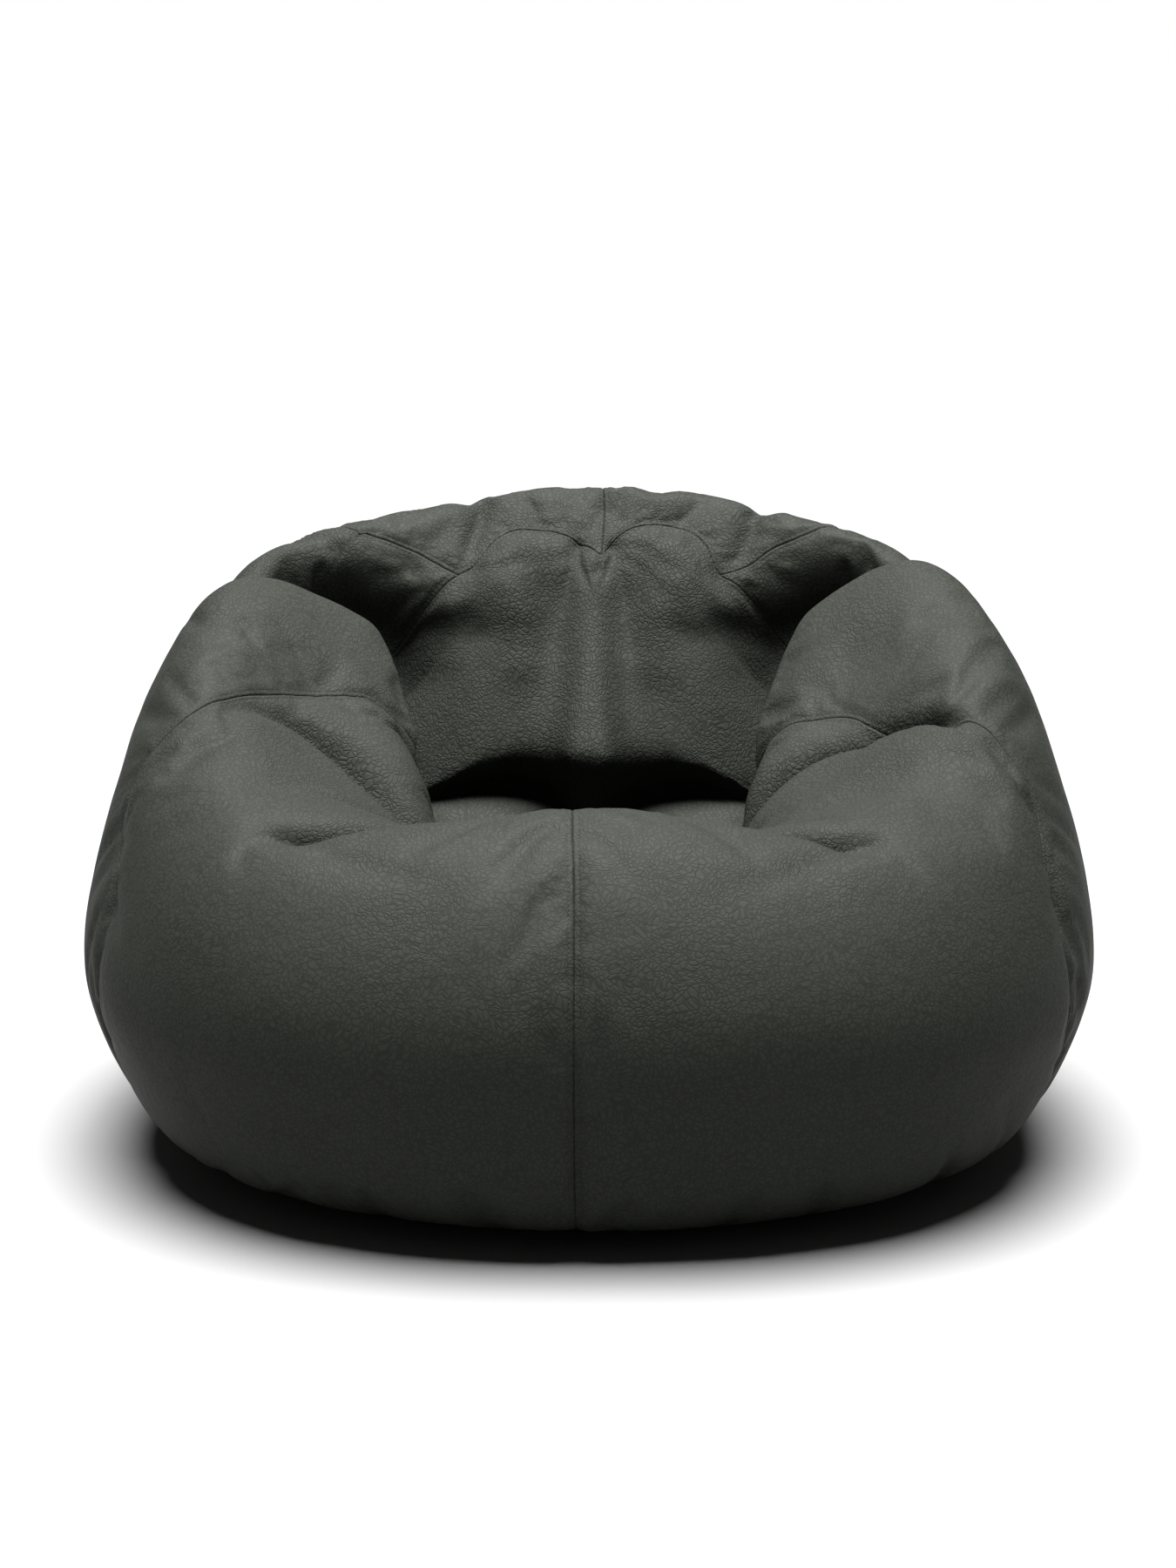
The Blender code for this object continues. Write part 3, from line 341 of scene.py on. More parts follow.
def fold_push(points, normals, path, width, depth, strengths, lean, undercut=0):
    """How far each point moves for one fold, and how close it lies to it."""
    undercut = (undercut or UNDERCUT_SHARE * lean) * MM
    width, depth, lean = width * MM, depth * MM, lean * MM
    line = smooth_path(path, 8)
    spine = form(line[:, 0], line[:, 1])
    sideways = np.sign(((line[:, 0] + 180) % 360) - 180)
    rearward = unit(form(line[:, 0] + sideways, line[:, 1]) - form(line[:, 0], line[:, 1]))
    crestward = unit(form(line[:, 0], line[:, 1] - 0.1) - form(line[:, 0], line[:, 1]))
    run_way = unit(np.gradient(spine, axis=0))
    along_rear = np.abs(np.einsum("ij,ij->i", rearward, run_way)).mean()
    along_crest = np.abs(np.einsum("ij,ij->i", crestward, run_way)).mean()
    side_way = rearward if along_rear < along_crest else crestward
    push = np.zeros_like(points)
    near = np.zeros(points.shape[:-1])
    reach = 4 * width + 0.01
    inside = np.all((points > spine.min(0) - reach) & (points < spine.max(0) + reach), axis=-1)
    if not inside.any():
        return push, near
    some = points[inside]
    best = np.full(len(some), np.inf)
    gap = np.zeros_like(some)
    along = np.zeros(len(some))
    tangent = np.zeros_like(some)
    reference = np.zeros_like(some)
    for index in range(len(spine) - 1):
        start, run = spine[index], spine[index + 1] - spine[index]
        share = np.clip((some - start) @ run / max(run @ run, 1e-12), 0, 1)
        away = some - start - share[:, None] * run
        distance = np.linalg.norm(away, axis=1)
        closer = distance < best
        best = np.where(closer, distance, best)
        gap[closer] = away[closer]
        along[closer] = (index + share[closer]) / (len(spine) - 1)
        tangent[closer] = run
        reference[closer] = side_way[index]
    strength = np.interp(along, np.linspace(0, 1, len(strengths)), strengths)
    reach = np.exp(-(best / width) ** 2) if depth > 0 else 1 / (1 + (best / width) ** 2) ** 2
    outward = normals[inside]
    moved = outward * (depth * strength * reach)[:, None]
    if undercut:
        lateral = unit(np.cross(outward, unit(tangent)))
        lateral *= np.sign(np.einsum("ij,ij->i", lateral, reference))[:, None]
        side = np.sign(undercut)
        offset = np.einsum("ij,ij->i", gap, lateral) * side
        lobe = np.exp(-((offset - LOBE_OFFSET * width) / (LOBE_SPREAD * width)) ** 2)
        lobe *= np.exp(-(best / (LOBE_REACH * width)) ** 4)
        under = np.exp(-(best / width) ** 2)
        moved += lateral * (strength * (undercut * under - lean * lobe))[:, None]
    push[inside] = moved
    near[inside] = strength * np.exp(-(best / (STRAIN_SPREAD * width)) ** 2)
    near[inside] *= min(abs(depth) / FULL_STRAIN_DEPTH, 1)
    return push, near


INNER_WIDTH, INNER_UNDERCUT_WIDTH, INNER_DEPTH = 1.2, 1.6, 1.1
# Each: height in mm, size in metres, seed.
LUMPS = ((3.0, 0.17, 1), (1.3, 0.075, 2), (0.45, 0.034, 3))
ZIP_FLAT_HALF, ZIP_FLAT_TOP = 0.030, 5.6
REAR_Y = 0.2
FLOOR_FADE = 0.05
SWELL = {}


def folded(azimuth, level, inner=False):
    """Points of the form with its folds and lumps, its plain normals, and where it creases.

    An inner layer follows wider, deeper valleys and no bulges, so it stays under the cover."""
    points = form(azimuth, level)
    normals = facing(azimuth, level)
    total = np.zeros_like(points)
    crease = np.zeros(points.shape[:-1])
    for path, width, depth, strengths, *leans in FOLDS:
        if inner and depth > 0:
            continue
        if inner:
            width *= INNER_UNDERCUT_WIDTH if leans[-1] else INNER_WIDTH
            depth, leans = depth * INNER_DEPTH, (0,)
        push, near = fold_push(points, normals, path, width, depth, strengths, *leans)
        total += push
        crease = np.maximum(crease, near)
    lumps = sum(height * noise(points, size, seed) for height, size, seed in LUMPS) * MM
    total += normals * lumps[..., None]
    if SWELL:
        total += swollen(azimuth, level)
    at_zip = np.exp(-(points[..., 0] / ZIP_FLAT_HALF) ** 4)
    at_zip *= (points[..., 1] > REAR_Y) * (level < ZIP_FLAT_TOP)
    above_floor = np.clip(points[..., 2] / FLOOR_FADE, 0, 1)
    total *= (above_floor * (1 - at_zip))[..., None]
    return points + total, normals, crease


# The cloth pass: its grid, its steps, how far it may move a point, and what it holds.
SWELL_COLUMNS = 288
SWELL_LEVELS = np.concatenate([np.linspace(1.0, 9.0, 104, endpoint=False), np.linspace(9.0, 11.5, 32)])
SWELL_FRAMES = 20
SWELL_LIMIT = 6.0 * MM
SEAM_HOLD = 8.0 * MM
HELD_BELOW, HELD_ABOVE = 1.05, 11.4
ZIP_HOLD_HALF, ZIP_HOLD_TOP = 0.02, 5.4
COVER_PRESSURE = 4.0
SPARE_CLOTH = 0.035


def swollen(azimuth, level):
    """How far the cloth pass moved the form at each azimuth and level."""
    column = (azimuth + 180.0) % 360.0 / 360.0 * SWELL_COLUMNS
    row = np.interp(level, SWELL_LEVELS, np.arange(len(SWELL_LEVELS)))
    row_low = np.minimum(row.astype(int), len(SWELL_LEVELS) - 2)
    column_low = column.astype(int) % SWELL_COLUMNS
    column_high = (column_low + 1) % SWELL_COLUMNS
    down, across = (row - row_low)[..., None], (column % 1.0)[..., None]
    move = SWELL["move"]
    upper = move[row_low, column_low] * (1 - across) + move[row_low, column_high] * across
    lower = move[row_low + 1, column_low] * (1 - across) + move[row_low + 1, column_high] * across
    return upper * (1 - down) + lower * down


def settle_cover():
    """Lets the cover swell and buckle between its seams as cloth over a soft fill."""
    azimuth = np.linspace(-180.0, 180.0, SWELL_COLUMNS, endpoint=False)
    azimuth, level = np.meshgrid(azimuth, SWELL_LEVELS)
    start, _, _ = folded(azimuth, level)
    plain = form(azimuth, level).reshape(-1, 3)
    seams = [smooth_path(seam, 30)
             for seam in (FRONT_SEAM, ARM_SEAM_RIGHT, ARM_SEAM_LEFT, REAR_SEAM_RIGHT, REAR_SEAM_LEFT,
                          BACK_SEAM, CAP_SEAM)]
    by_zip = (np.abs(start[..., 0]) < ZIP_HOLD_HALF) & (start[..., 1] > REAR_Y) & (level < ZIP_HOLD_TOP)
    held = ((level <= HELD_BELOW) | (level >= HELD_ABOVE) | by_zip).ravel()
    tree = KDTree(sum(len(seam) for seam in seams))
    for number, place in enumerate(np.concatenate([form(seam[:, 0], seam[:, 1]) for seam in seams])):
        tree.insert(place, number)
    tree.balance()
    held |= np.array([tree.find(place)[2] < SEAM_HOLD for place in plain])
    corner = np.arange(start[..., 0].size).reshape(azimuth.shape)
    turned = np.roll(corner, -1, axis=1)
    faces = np.stack([corner[:-1], turned[:-1], turned[1:], corner[1:]], -1).reshape(-1, 4)
    cloth = add_object("cover_cloth", start, faces)
    pins = cloth.vertex_groups.new(name="held")
    pins.add(np.flatnonzero(held).tolist(), 1.0, "REPLACE")
    modifier = cloth.modifiers.new("cloth", "CLOTH")
    settings = modifier.settings
    settings.quality = 4
    settings.mass = 0.4
    settings.tension_stiffness = settings.compression_stiffness = 12.0
    settings.shear_stiffness = 5.0
    settings.bending_stiffness = 1.0
    settings.shrink_min = -SPARE_CLOTH
    settings.use_pressure = True
    settings.uniform_pressure_force = COVER_PRESSURE
    settings.vertex_group_mass = "held"
    settings.effector_weights.gravity = 0.0
    modifier.collision_settings.use_collision = False
    modifier.point_cache.frame_end = SWELL_FRAMES
    scene = bpy.context.scene
    for number in range(1, SWELL_FRAMES + 1):
        scene.frame_set(number)
    evaluated = cloth.evaluated_get(bpy.context.evaluated_depsgraph_get())
    end = np.empty(start.size, np.float32)
    evaluated.data.vertices.foreach_get("co", end)
    scene.frame_set(1)
    mesh = cloth.data
    bpy.data.objects.remove(cloth)
    bpy.data.meshes.remove(mesh)
    move = end.reshape(start.shape) - start
    size = np.linalg.norm(move, axis=-1, keepdims=True)
    SWELL["move"] = move * SWELL_LIMIT * np.tanh(size / SWELL_LIMIT) / np.maximum(size, 1e-9)


STITCH_GAP = 5 * MM


def edge_relief(gap, points):
    """How far the cover sinks or rises at a distance from its nearest seam."""
    sunk = 1.2 * np.exp(-(gap / (1.0 * MM)) ** 2) + 0.8 * np.exp(-(gap / (10 * MM)) ** 2)
    stitched = 0.4 * np.exp(-((gap - STITCH_GAP) / (0.8 * MM)) ** 2)
    pucker = 0.9 * noise(points, 0.019, 5) + 0.5 * noise(points, 0.010, 6)
    pucker *= np.exp(-gap / (17 * MM))
    return (pucker - sunk - stitched) * MM


# ---------------------------------------------------------------------- grids
NEAR_SEAM = np.array([0.03, 0.8, 1.8, 3.0, 4.2, 5.0, 5.8, 7.0, 9.0, 12.0, 16.0]) * MM
STITCH_COLUMN = 5
SEAM_TURN_IN = 3.0 * MM
SEAM_SPREAD = 0.05 * MM
AZIMUTHS = np.linspace(-180.0, 180.0, 721)


def lengths(points):
    """Running length along the last but one axis."""
    steps = np.linalg.norm(np.diff(points, axis=-2), axis=-1)
    start = np.zeros(points.shape[:-2] + (1,))
    return np.concatenate([start, np.cumsum(steps, axis=-1)], axis=-1)


def stations(total, middle, start_gap=0.0, end_gap=0.0):
    """Places across a panel: close together at its seams, even between them."""
    low, high = start_gap + NEAR_SEAM, total - end_gap - NEAR_SEAM[::-1]
    between = np.linspace(low[-1], high[0], middle + 2)[1:-1]
    return np.concatenate([low, between, high])


def meridian_table(start, end, places):
    """Levels of the rows at each azimuth, and each row's distance from both ends."""
    levels, below, above = [], [], []
    for azimuth in AZIMUTHS:
        fine = np.linspace(start(azimuth), end(azimuth), 260)
        run = lengths(form(azimuth, fine))
        at = places(run[-1])
        levels.append(np.interp(at, run, fine))
        below.append(at)
        above.append(run[-1] - at)
    return np.array(levels), np.array(below), np.array(above)


def at_azimuth(table, azimuth, row):
    """One row of a table at the given azimuths."""
    wrapped = (azimuth + 180.0) % 360.0 - 180.0
    return np.interp(wrapped, AZIMUTHS, table[:, row])


def seam_at(seam, table, row):
    """Azimuth where a seam crosses a row."""
    azimuth = seam[0][0]
    for _ in range(6):
        azimuth = float(seam_azimuth(seam, at_azimuth(table, np.array([azimuth]), row)[0]))
    return azimuth


def zip_gap(level, half):
    """Half width of a zip's opening at a level of the rear centre line."""
    return half * float(np.interp(level, (1.93, 2.0, 5.0, 5.07), (0, 1, 1, 0)))


def panel_grid(tables, low_seam, high_seam, middle, low_zip=False, high_zip=False):
    """Azimuth, level and seam distance over a gore."""
    table, below, above = tables
    grid = []
    for row in range(table.shape[1]):
        start = seam_at(low_seam, table, row)
        end = seam_at(high_seam, table, row)
        fine = np.linspace(start, end, 200)
        levels = at_azimuth(table, fine, row)
        run = lengths(form(fine, levels))
        low_gap = zip_gap(levels[0], OPENING_HALF) if low_zip else 0.0
        high_gap = zip_gap(levels[-1], OPENING_HALF) if high_zip else 0.0
        at = stations(run[-1], middle, low_gap, high_gap)
        azimuth = np.interp(at, run, fine)
        gap = np.minimum(at - low_gap, run[-1] - high_gap - at)
        gap = np.minimum(gap, at_azimuth(below, azimuth, row))
        gap = np.minimum(gap, at_azimuth(above, azimuth, row))
        grid.append((azimuth, at_azimuth(table, azimuth, row), gap))
    return [np.array(part) for part in zip(*grid)]


def grid_normals(points):
    """Unit normals of a grid of points, taken from its own slopes."""
    across = np.gradient(points, axis=1)
    along = np.gradient(points, axis=0)
    return unit(np.cross(across, along))


def widen(points, turn_in):
    """Turns a grid's edges down into the seam."""
    lanes = [points]
    for axis in (1, 0):
        grid = lanes.pop()
        first, last = np.take(grid, [0], axis), np.take(grid, [-1], axis)
        next_first, next_last = np.take(grid, [3], axis), np.take(grid, [-4], axis)
        facing_in = grid_normals(grid)
        normal_first, normal_last = np.take(facing_in, [3], axis), np.take(facing_in, [-4], axis)
        lead = first - normal_first * turn_in + unit(next_first - first) * SEAM_SPREAD
        tail = last - normal_last * turn_in + unit(next_last - last) * SEAM_SPREAD
        lanes.append(np.concatenate([lead, grid, tail], axis))
    return lanes[0]


def grid_faces(rows, columns, start=0, flip=False):
    """Quads of a grid whose points are numbered row by row."""
    corner = start + np.arange(rows * columns).reshape(rows, columns)
    quads = np.stack([corner[:-1, :-1], corner[:-1, 1:], corner[1:, 1:], corner[1:, :-1]], -1)
    quads = quads.reshape(-1, 4)
    return quads[:, ::-1] if flip else quads


def rim_faces(rows, columns, inner_start):
    """Quads that close the edge between an outer grid and an inner one."""
    corner = np.arange(rows * columns).reshape(rows, columns)
    loop = np.concatenate([corner[0, :-1], corner[:-1, -1], corner[-1, :0:-1], corner[:0:-1, 0]])
    following = np.roll(loop, -1)
    return np.stack([following, loop, loop + inner_start, following + inner_start], -1)


def add_object(name, points, faces, smooth=True):
    """A mesh object at the origin."""
    mesh = bpy.data.meshes.new(name)
    places = np.asarray(points).reshape(-1, 3).tolist()
    mesh.from_pydata(places, [], [list(map(int, face)) for face in faces])
    mesh.validate()
    mesh.polygons.foreach_set("use_smooth", [smooth] * len(mesh.polygons))
    mesh.update()
    made = bpy.data.objects.new(name, mesh)
    bpy.context.scene.collection.objects.link(made)
    return made


def sheet_object(name, points, crease):
    """A closed skin of the cover's thickness, with its outer face on a grid of points."""
    rows, columns = points.shape[:2]
    inner = points - grid_normals(points) * COVER_THICKNESS
    inner[..., 2] = np.maximum(inner[..., 2], 0.2 * MM)
    count = rows * columns
    faces = np.concatenate([grid_faces(rows, columns), grid_faces(rows, columns, count, True),
                            rim_faces(rows, columns, count)])
    made = add_object(name, np.concatenate([points.reshape(-1, 3), inner.reshape(-1, 3)]), faces)
    strain = made.data.attributes.new("strain", "FLOAT", "POINT")
    strain.data.foreach_set("value", np.concatenate([crease.ravel()] * 2).astype(np.float32))
    return made


settle_cover()

ROW_MIDDLE = 165
GORE_TABLES = meridian_table(lambda a: 1.0, lambda a: float(cap_level(a)),
                             lambda total: stations(total, ROW_MIDDLE))
stitch_lines = []


def make_gore(name, low_seam, high_seam, middle, low_zip=False, high_zip=False):
    """One side panel of the cover, and the lines its topstitching follows."""
    azimuth, level, gap = panel_grid(GORE_TABLES, low_seam, high_seam, middle, low_zip, high_zip)
    points, normals, crease = folded(azimuth, level)
    points = points + normals * edge_relief(gap, points)[..., None]
    points[..., 2] = np.maximum(points[..., 2], 0.0)
    near = STITCH_COLUMN
    for line, up in ((points[:, near], normals[:, near]), (points[:, -1 - near], normals[:, -1 - near]),
                     (points[-1 - near], normals[-1 - near])):
        stitch_lines.append((line[near:-near], up[near:-near]))
    wide = widen(points, SEAM_TURN_IN)
    wide[..., 2] = np.maximum(wide[..., 2], 0.0)
    return sheet_object(name, wide, np.pad(crease, 1, mode="edge"))


def shifted(seam, turn):
    """A seam given a whole turn on, so that a panel's azimuths run upwards."""
    return tuple((azimuth + turn, level) for azimuth, level in seam)


cover = [
    make_gore("front_panel_right", FRONT_SEAM, ARM_SEAM_RIGHT, 112),
    make_gore("front_panel_left", ARM_SEAM_LEFT, FRONT_SEAM, 112),
    make_gore("arm_panel_right", ARM_SEAM_RIGHT, REAR_SEAM_RIGHT, 96),
    make_gore("arm_panel_left", REAR_SEAM_LEFT, ARM_SEAM_LEFT, 96),
    make_gore("back_panel_right", REAR_SEAM_RIGHT, BACK_SEAM, 54, high_zip=True),
    make_gore("back_panel_left", shifted(BACK_SEAM, -360), REAR_SEAM_LEFT, 54, low_zip=True),
]


# ------------------------------------------------------------ seat cap and base
def disc_grid(cells):
    """Azimuth and ring number over a square grid laid round a disc."""
    line = np.arange(-cells, cells + 1)
    u, v = np.meshgrid(line, line)
    ring = np.maximum(np.abs(u), np.abs(v))
    safe = np.maximum(ring, 1)
    wide = np.abs(u) >= np.abs(v)
    turn = np.where(wide, 45.0 * v / safe * np.sign(u), 90.0 - 45.0 * u / safe * np.sign(v))
    turn = np.where(wide & (u < 0), turn + 180.0, turn)
    turn = np.where(~wide & (v < 0), turn + 180.0, turn)
    return (turn + 180.0) % 360.0 - 180.0, ring


def cap_places(total):
    """Distances of the cap's rings from its seam, out from the pole."""
    even = np.linspace(NEAR_SEAM[-1], total, CAP_CELLS + 2 - len(NEAR_SEAM))[1:]
    return np.concatenate([NEAR_SEAM, even])[::-1]


CAP_CELLS = 72
CAP_TABLES = meridian_table(lambda a: float(cap_level(a)), lambda a: float(SEAT_LEVEL), cap_places)


def make_cap():
    """The scalloped seat cap, laid out as a square grid with no pole."""
    azimuth, ring = disc_grid(CAP_CELLS)
    level = np.empty(azimuth.shape)
    gap = np.empty(azimuth.shape)
    for number in range(CAP_CELLS + 1):
        mask = ring == number
        level[mask] = at_azimuth(CAP_TABLES[0], azimuth[mask], number)
        gap[mask] = at_azimuth(CAP_TABLES[1], azimuth[mask], number)
    points, normals, crease = folded(azimuth, level)
    points = points + normals * edge_relief(gap, points)[..., None]
    mask = ring == CAP_CELLS - STITCH_COLUMN
    order = np.argsort(azimuth[mask])
    loop = points[mask][order], normals[mask][order]
    stitch_lines.append(tuple(np.concatenate([part, part[:1]]) for part in loop))
    if np.mean(grid_normals(points)[..., 2]) < 0:
        points, crease = points[:, ::-1], crease[:, ::-1]
    wide = widen(points, SEAM_TURN_IN)
    return sheet_object("seat_cap", wide, np.pad(crease, 1, mode="edge"))


BASE_CELLS = 26
BASE_TURN_UP = 1.6 * MM


def make_base():
    """The flat panel under the chair."""
    azimuth, ring = disc_grid(BASE_CELLS)
    points = form(azimuth, ring / BASE_CELLS * 0.999)
    edge = np.clip(ring / BASE_CELLS * 8 - 7, 0, 1)
    points[..., 2] = BASE_TURN_UP * edge ** 2
    if np.mean(grid_normals(points)[..., 2]) > 0:
        points = points[:, ::-1]
    return sheet_object("base_panel", points, np.zeros(points.shape[:2]))


cover.append(make_cap())
cover.append(make_base())


# ------------------------------------------------------------------ liner, fill
INNER_GRID = (240, 150)
CHANNEL_FLOOR, CHANNEL_SIDES = 0.013, 0.026     # half widths of the room behind the zips
CHANNEL_ENDS = (1.6, 5.4)
BASE_TOP = 0.9
BACK_START, BACK_ROOM = 8.0, 15 * MM


def inner_body(name, depth, channel):
    """A closed skin under the cover, at a depth, with a channel behind the zips."""
    columns, rows = INNER_GRID
    azimuth = np.linspace(-180.0, 180.0, columns, endpoint=False)
    tables = meridian_table(lambda a: 0.0, lambda a: float(SEAT_LEVEL),
                            lambda total: np.linspace(0, total, rows))
    level = np.array([at_azimuth(tables[0], azimuth, row) for row in range(rows)])
    azimuth = np.broadcast_to(azimuth, level.shape)
    points, normals, _ = folded(azimuth, level, inner=True)
    normals[level < BASE_TOP] = (0, 0, -1)
    deep = np.full(level.shape, depth)
    behind = (points[..., 1] > REAR_Y) & (level < CHANNEL_ENDS[1]) & (level > CHANNEL_ENDS[0])
    across = np.interp(np.abs(points[..., 0]), (CHANNEL_FLOOR, CHANNEL_SIDES), (1, 0))
    deep += (channel - depth) * across * behind
    deep += BACK_ROOM * np.clip(level - BACK_START, 0, 1)
    points = points - normals * deep[..., None]
    points[..., 2] = np.maximum(points[..., 2], depth)
    points[0] = points[0].mean(0)
    points[-1] = points[-1].mean(0)
    corner = np.arange(rows * columns).reshape(rows, columns)
    turned = np.roll(corner, -1, axis=1)
    faces = np.stack([corner[:-1], turned[:-1], turned[1:], corner[1:]], -1).reshape(-1, 4).tolist()
    return add_object(name, points, faces)


liner = inner_body("inner_liner", 4.5 * MM, 8.0 * MM)
fill = inner_body("bead_fill", 7.0 * MM, 16.0 * MM)


# ------------------------------------------------------------------- materials
def colour(code):
    """Linear colour from an sRGB hex code."""
    parts = [int(code[place:place + 2], 16) / 255 for place in (1, 3, 5)]
    return tuple(part / 12.92 if part < 0.04045 else ((part + 0.055) / 1.055) ** 2.4
                 for part in parts) + (1.0,)


def add(tree, kind, inputs=None, **settings):
    """Adds a node, sets its options, and sets or links its inputs."""
    new = tree.nodes.new(kind)
    for key, value in settings.items():
        setattr(new, key, value)
    for key, value in (inputs or {}).items():
        if isinstance(value, bpy.types.NodeSocket):
            tree.links.new(value, new.inputs[key])
        else:
            new.inputs[key].default_value = value
    return new


def new_material(name):
    """An empty material and its tree."""
    made = bpy.data.materials.new(name)
    made.use_nodes = True
    made.node_tree.nodes.clear()
    return made, made.node_tree


def close_material(tree, shader):
    """Links a shader to the material's output."""
    add(tree, "ShaderNodeOutputMaterial", {"Surface": shader.outputs[0]})


# Pebble-grained polyurethane faux leather, matt finish: dark warm grey-green, soft
# low highlights, fine pebbles with longer crinkles where it is pulled or folded.
LEATHER_COLOUR = colour("#2c2e2a")
PEBBLE_SIZE = 2.4 * MM
CRINKLE_SIZE = 5.2 * MM
WAVE_SIZE = 14 * MM
CRINKLE_HEIGHT, PEBBLE_HEIGHT, WAVE_HEIGHT = 0.34 * MM, -0.10 * MM, 0.9 * MM
LEATHER_SHEEN = 0.05


def leather_material():
    """The cover's leather."""
    made, tree = new_material("faux leather")
    place = add(tree, "ShaderNodeTexCoord").outputs["Object"]
    strain = add(tree, "ShaderNodeAttribute", attribute_name="strain").outputs["Fac"]
    drift = add(tree, "ShaderNodeTexNoise", {"Vector": place, "Scale": 26.0, "Detail": 2.0})
    drift = add(tree, "ShaderNodeVectorMath", {0: drift.outputs["Color"], 1: (0.5, 0.5, 0.5)},
                operation="SUBTRACT")
    drift = add(tree, "ShaderNodeVectorMath", {0: drift.outputs[0], "Scale": 0.030}, operation="SCALE")
    bent = add(tree, "ShaderNodeVectorMath", {0: place, 1: drift.outputs[0]}, operation="ADD").outputs[0]
    cells = add(tree, "ShaderNodeTexVoronoi", {"Vector": bent, "Scale": 1 / CRINKLE_SIZE},
                feature="DISTANCE_TO_EDGE")
    crinkle = add(tree, "ShaderNodeMapRange", {"Value": cells.outputs["Distance"], "From Min": 0.0,
                                               "From Max": 0.22}, interpolation_type="SMOOTHSTEP")
    pebble = add(tree, "ShaderNodeTexVoronoi", {"Vector": bent, "Scale": 1 / PEBBLE_SIZE},
                 feature="SMOOTH_F1")
    wave = add(tree, "ShaderNodeTexNoise", {"Vector": bent, "Scale": 1 / WAVE_SIZE, "Detail": 3.0,
                                            "Roughness": 0.62})
    patch = add(tree, "ShaderNodeTexNoise", {"Vector": place, "Scale": 7.0, "Detail": 1.0})
    amount = add(tree, "ShaderNodeMapRange", {"Value": patch.outputs["Fac"], "From Min": 0.38,
                                              "From Max": 0.66, "To Min": 0.25, "To Max": 0.75})
    amount = add(tree, "ShaderNodeMath", {0: amount.outputs[0], 1: strain}, operation="ADD")
    deep = add(tree, "ShaderNodeMath", {0: crinkle.outputs[0], 1: amount.outputs[0]}, operation="MULTIPLY")
    height = add(tree, "ShaderNodeMath", {0: deep.outputs[0], 1: CRINKLE_HEIGHT}, operation="MULTIPLY")
    for layer, scale in ((pebble.outputs["Distance"], PEBBLE_HEIGHT), (wave.outputs["Fac"], WAVE_HEIGHT)):
        height = add(tree, "ShaderNodeMath", {0: layer, 1: scale, 2: height.outputs[0]},
                     operation="MULTIPLY_ADD")
    bump = add(tree, "ShaderNodeBump", {"Height": height.outputs[0], "Strength": 1.0, "Distance": 1.0})
    # painted shade: the leather colour is darkened to 0.72 of itself in the crinkle grooves, where the bump
    # sinks
    groove_shade = add(tree, "ShaderNodeMapRange", {"Value": crinkle.outputs[0], "To Min": 0.72, "To Max": 1.0})
    base = add(tree, "ShaderNodeVectorMath", {0: LEATHER_COLOUR[:3], "Scale": groove_shade.outputs[0]},
               operation="SCALE")
    rough = add(tree, "ShaderNodeMapRange", {"Value": patch.outputs["Fac"], "To Min": 0.52, "To Max": 0.64})
    shader = add(tree, "ShaderNodeBsdfPrincipled", {
        "Base Color": base.outputs[0], "Roughness": rough.outputs[0], "Specular IOR Level": LEATHER_SHEEN,
        "Normal": bump.outputs[0]})
    close_material(tree, shader)
    return made


def plain_material(name, code, roughness, metallic=0.0, size=None, depth=0.0):
    """A simple finish, with a fine grain where a size is given."""
    made, tree = new_material(name)
    inputs = {"Base Color": colour(code), "Roughness": roughness, "Metallic": metallic}
    if size:
        place = add(tree, "ShaderNodeTexCoord").outputs["Object"]
        grain = add(tree, "ShaderNodeTexVoronoi", {"Vector": place, "Scale": 1 / size})
        height = add(tree, "ShaderNodeMath", {0: grain.outputs["Distance"], 1: -depth}, operation="MULTIPLY")
        bump = add(tree, "ShaderNodeBump", {"Height": height.outputs[0], "Distance": 1.0})
        inputs["Normal"] = bump.outputs[0]
    close_material(tree, add(tree, "ShaderNodeBsdfPrincipled", inputs))
    return made


leather = leather_material()
liner_cloth = plain_material("liner cloth", "#4e504a", 0.85, size=0.6 * MM, depth=0.05 * MM)
beads = plain_material("foam beads", "#f0f0ee", 0.7, size=4.0 * MM, depth=1.6 * MM)
tape_cloth = plain_material("zip tape", "#2c2d2a", 0.8, size=0.7 * MM, depth=0.08 * MM)
nylon = plain_material("zip nylon", "#262724", 0.45)
metal = plain_material("dark zip metal", "#5a5b57", 0.34, metallic=1.0, size=6.0 * MM, depth=0.02 * MM)
label_cloth = plain_material("label cloth", "#b4b1a8", 0.8, size=0.5 * MM, depth=0.05 * MM)
thread = plain_material("stitch thread", "#0e0f0d", 0.8)

for piece in cover:
    piece.data.materials.append(leather)
    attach(piece, "chair")
    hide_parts(piece.name.split(".")[0])
for piece, cloth, slot in ((liner, liner_cloth, "liner_cloth"), (fill, beads, "beads")):
    piece.data.materials.append(cloth)
    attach(piece, "chair")
    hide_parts(piece.name.split(".")[0])


# ----------------------------------------------- stitches and zip teeth on lines
def line_object(name, lines):
    """Edges along lines of points, with the way out stored on each point."""
    points = np.concatenate([line for line, _ in lines])
    outward = np.concatenate([out for _, out in lines])
    edges, first = [], 0
    for line, _ in lines:
        edges += [(first + step, first + step + 1) for step in range(len(line) - 1)]
        first += len(line)
    mesh = bpy.data.meshes.new(name)
    mesh.from_pydata(points.tolist(), edges, [])
    mesh.attributes.new("outward", "FLOAT_VECTOR", "POINT").data.foreach_set("vector", outward.ravel())
    made = bpy.data.objects.new(name, mesh)
    bpy.context.scene.collection.objects.link(made)
    return made


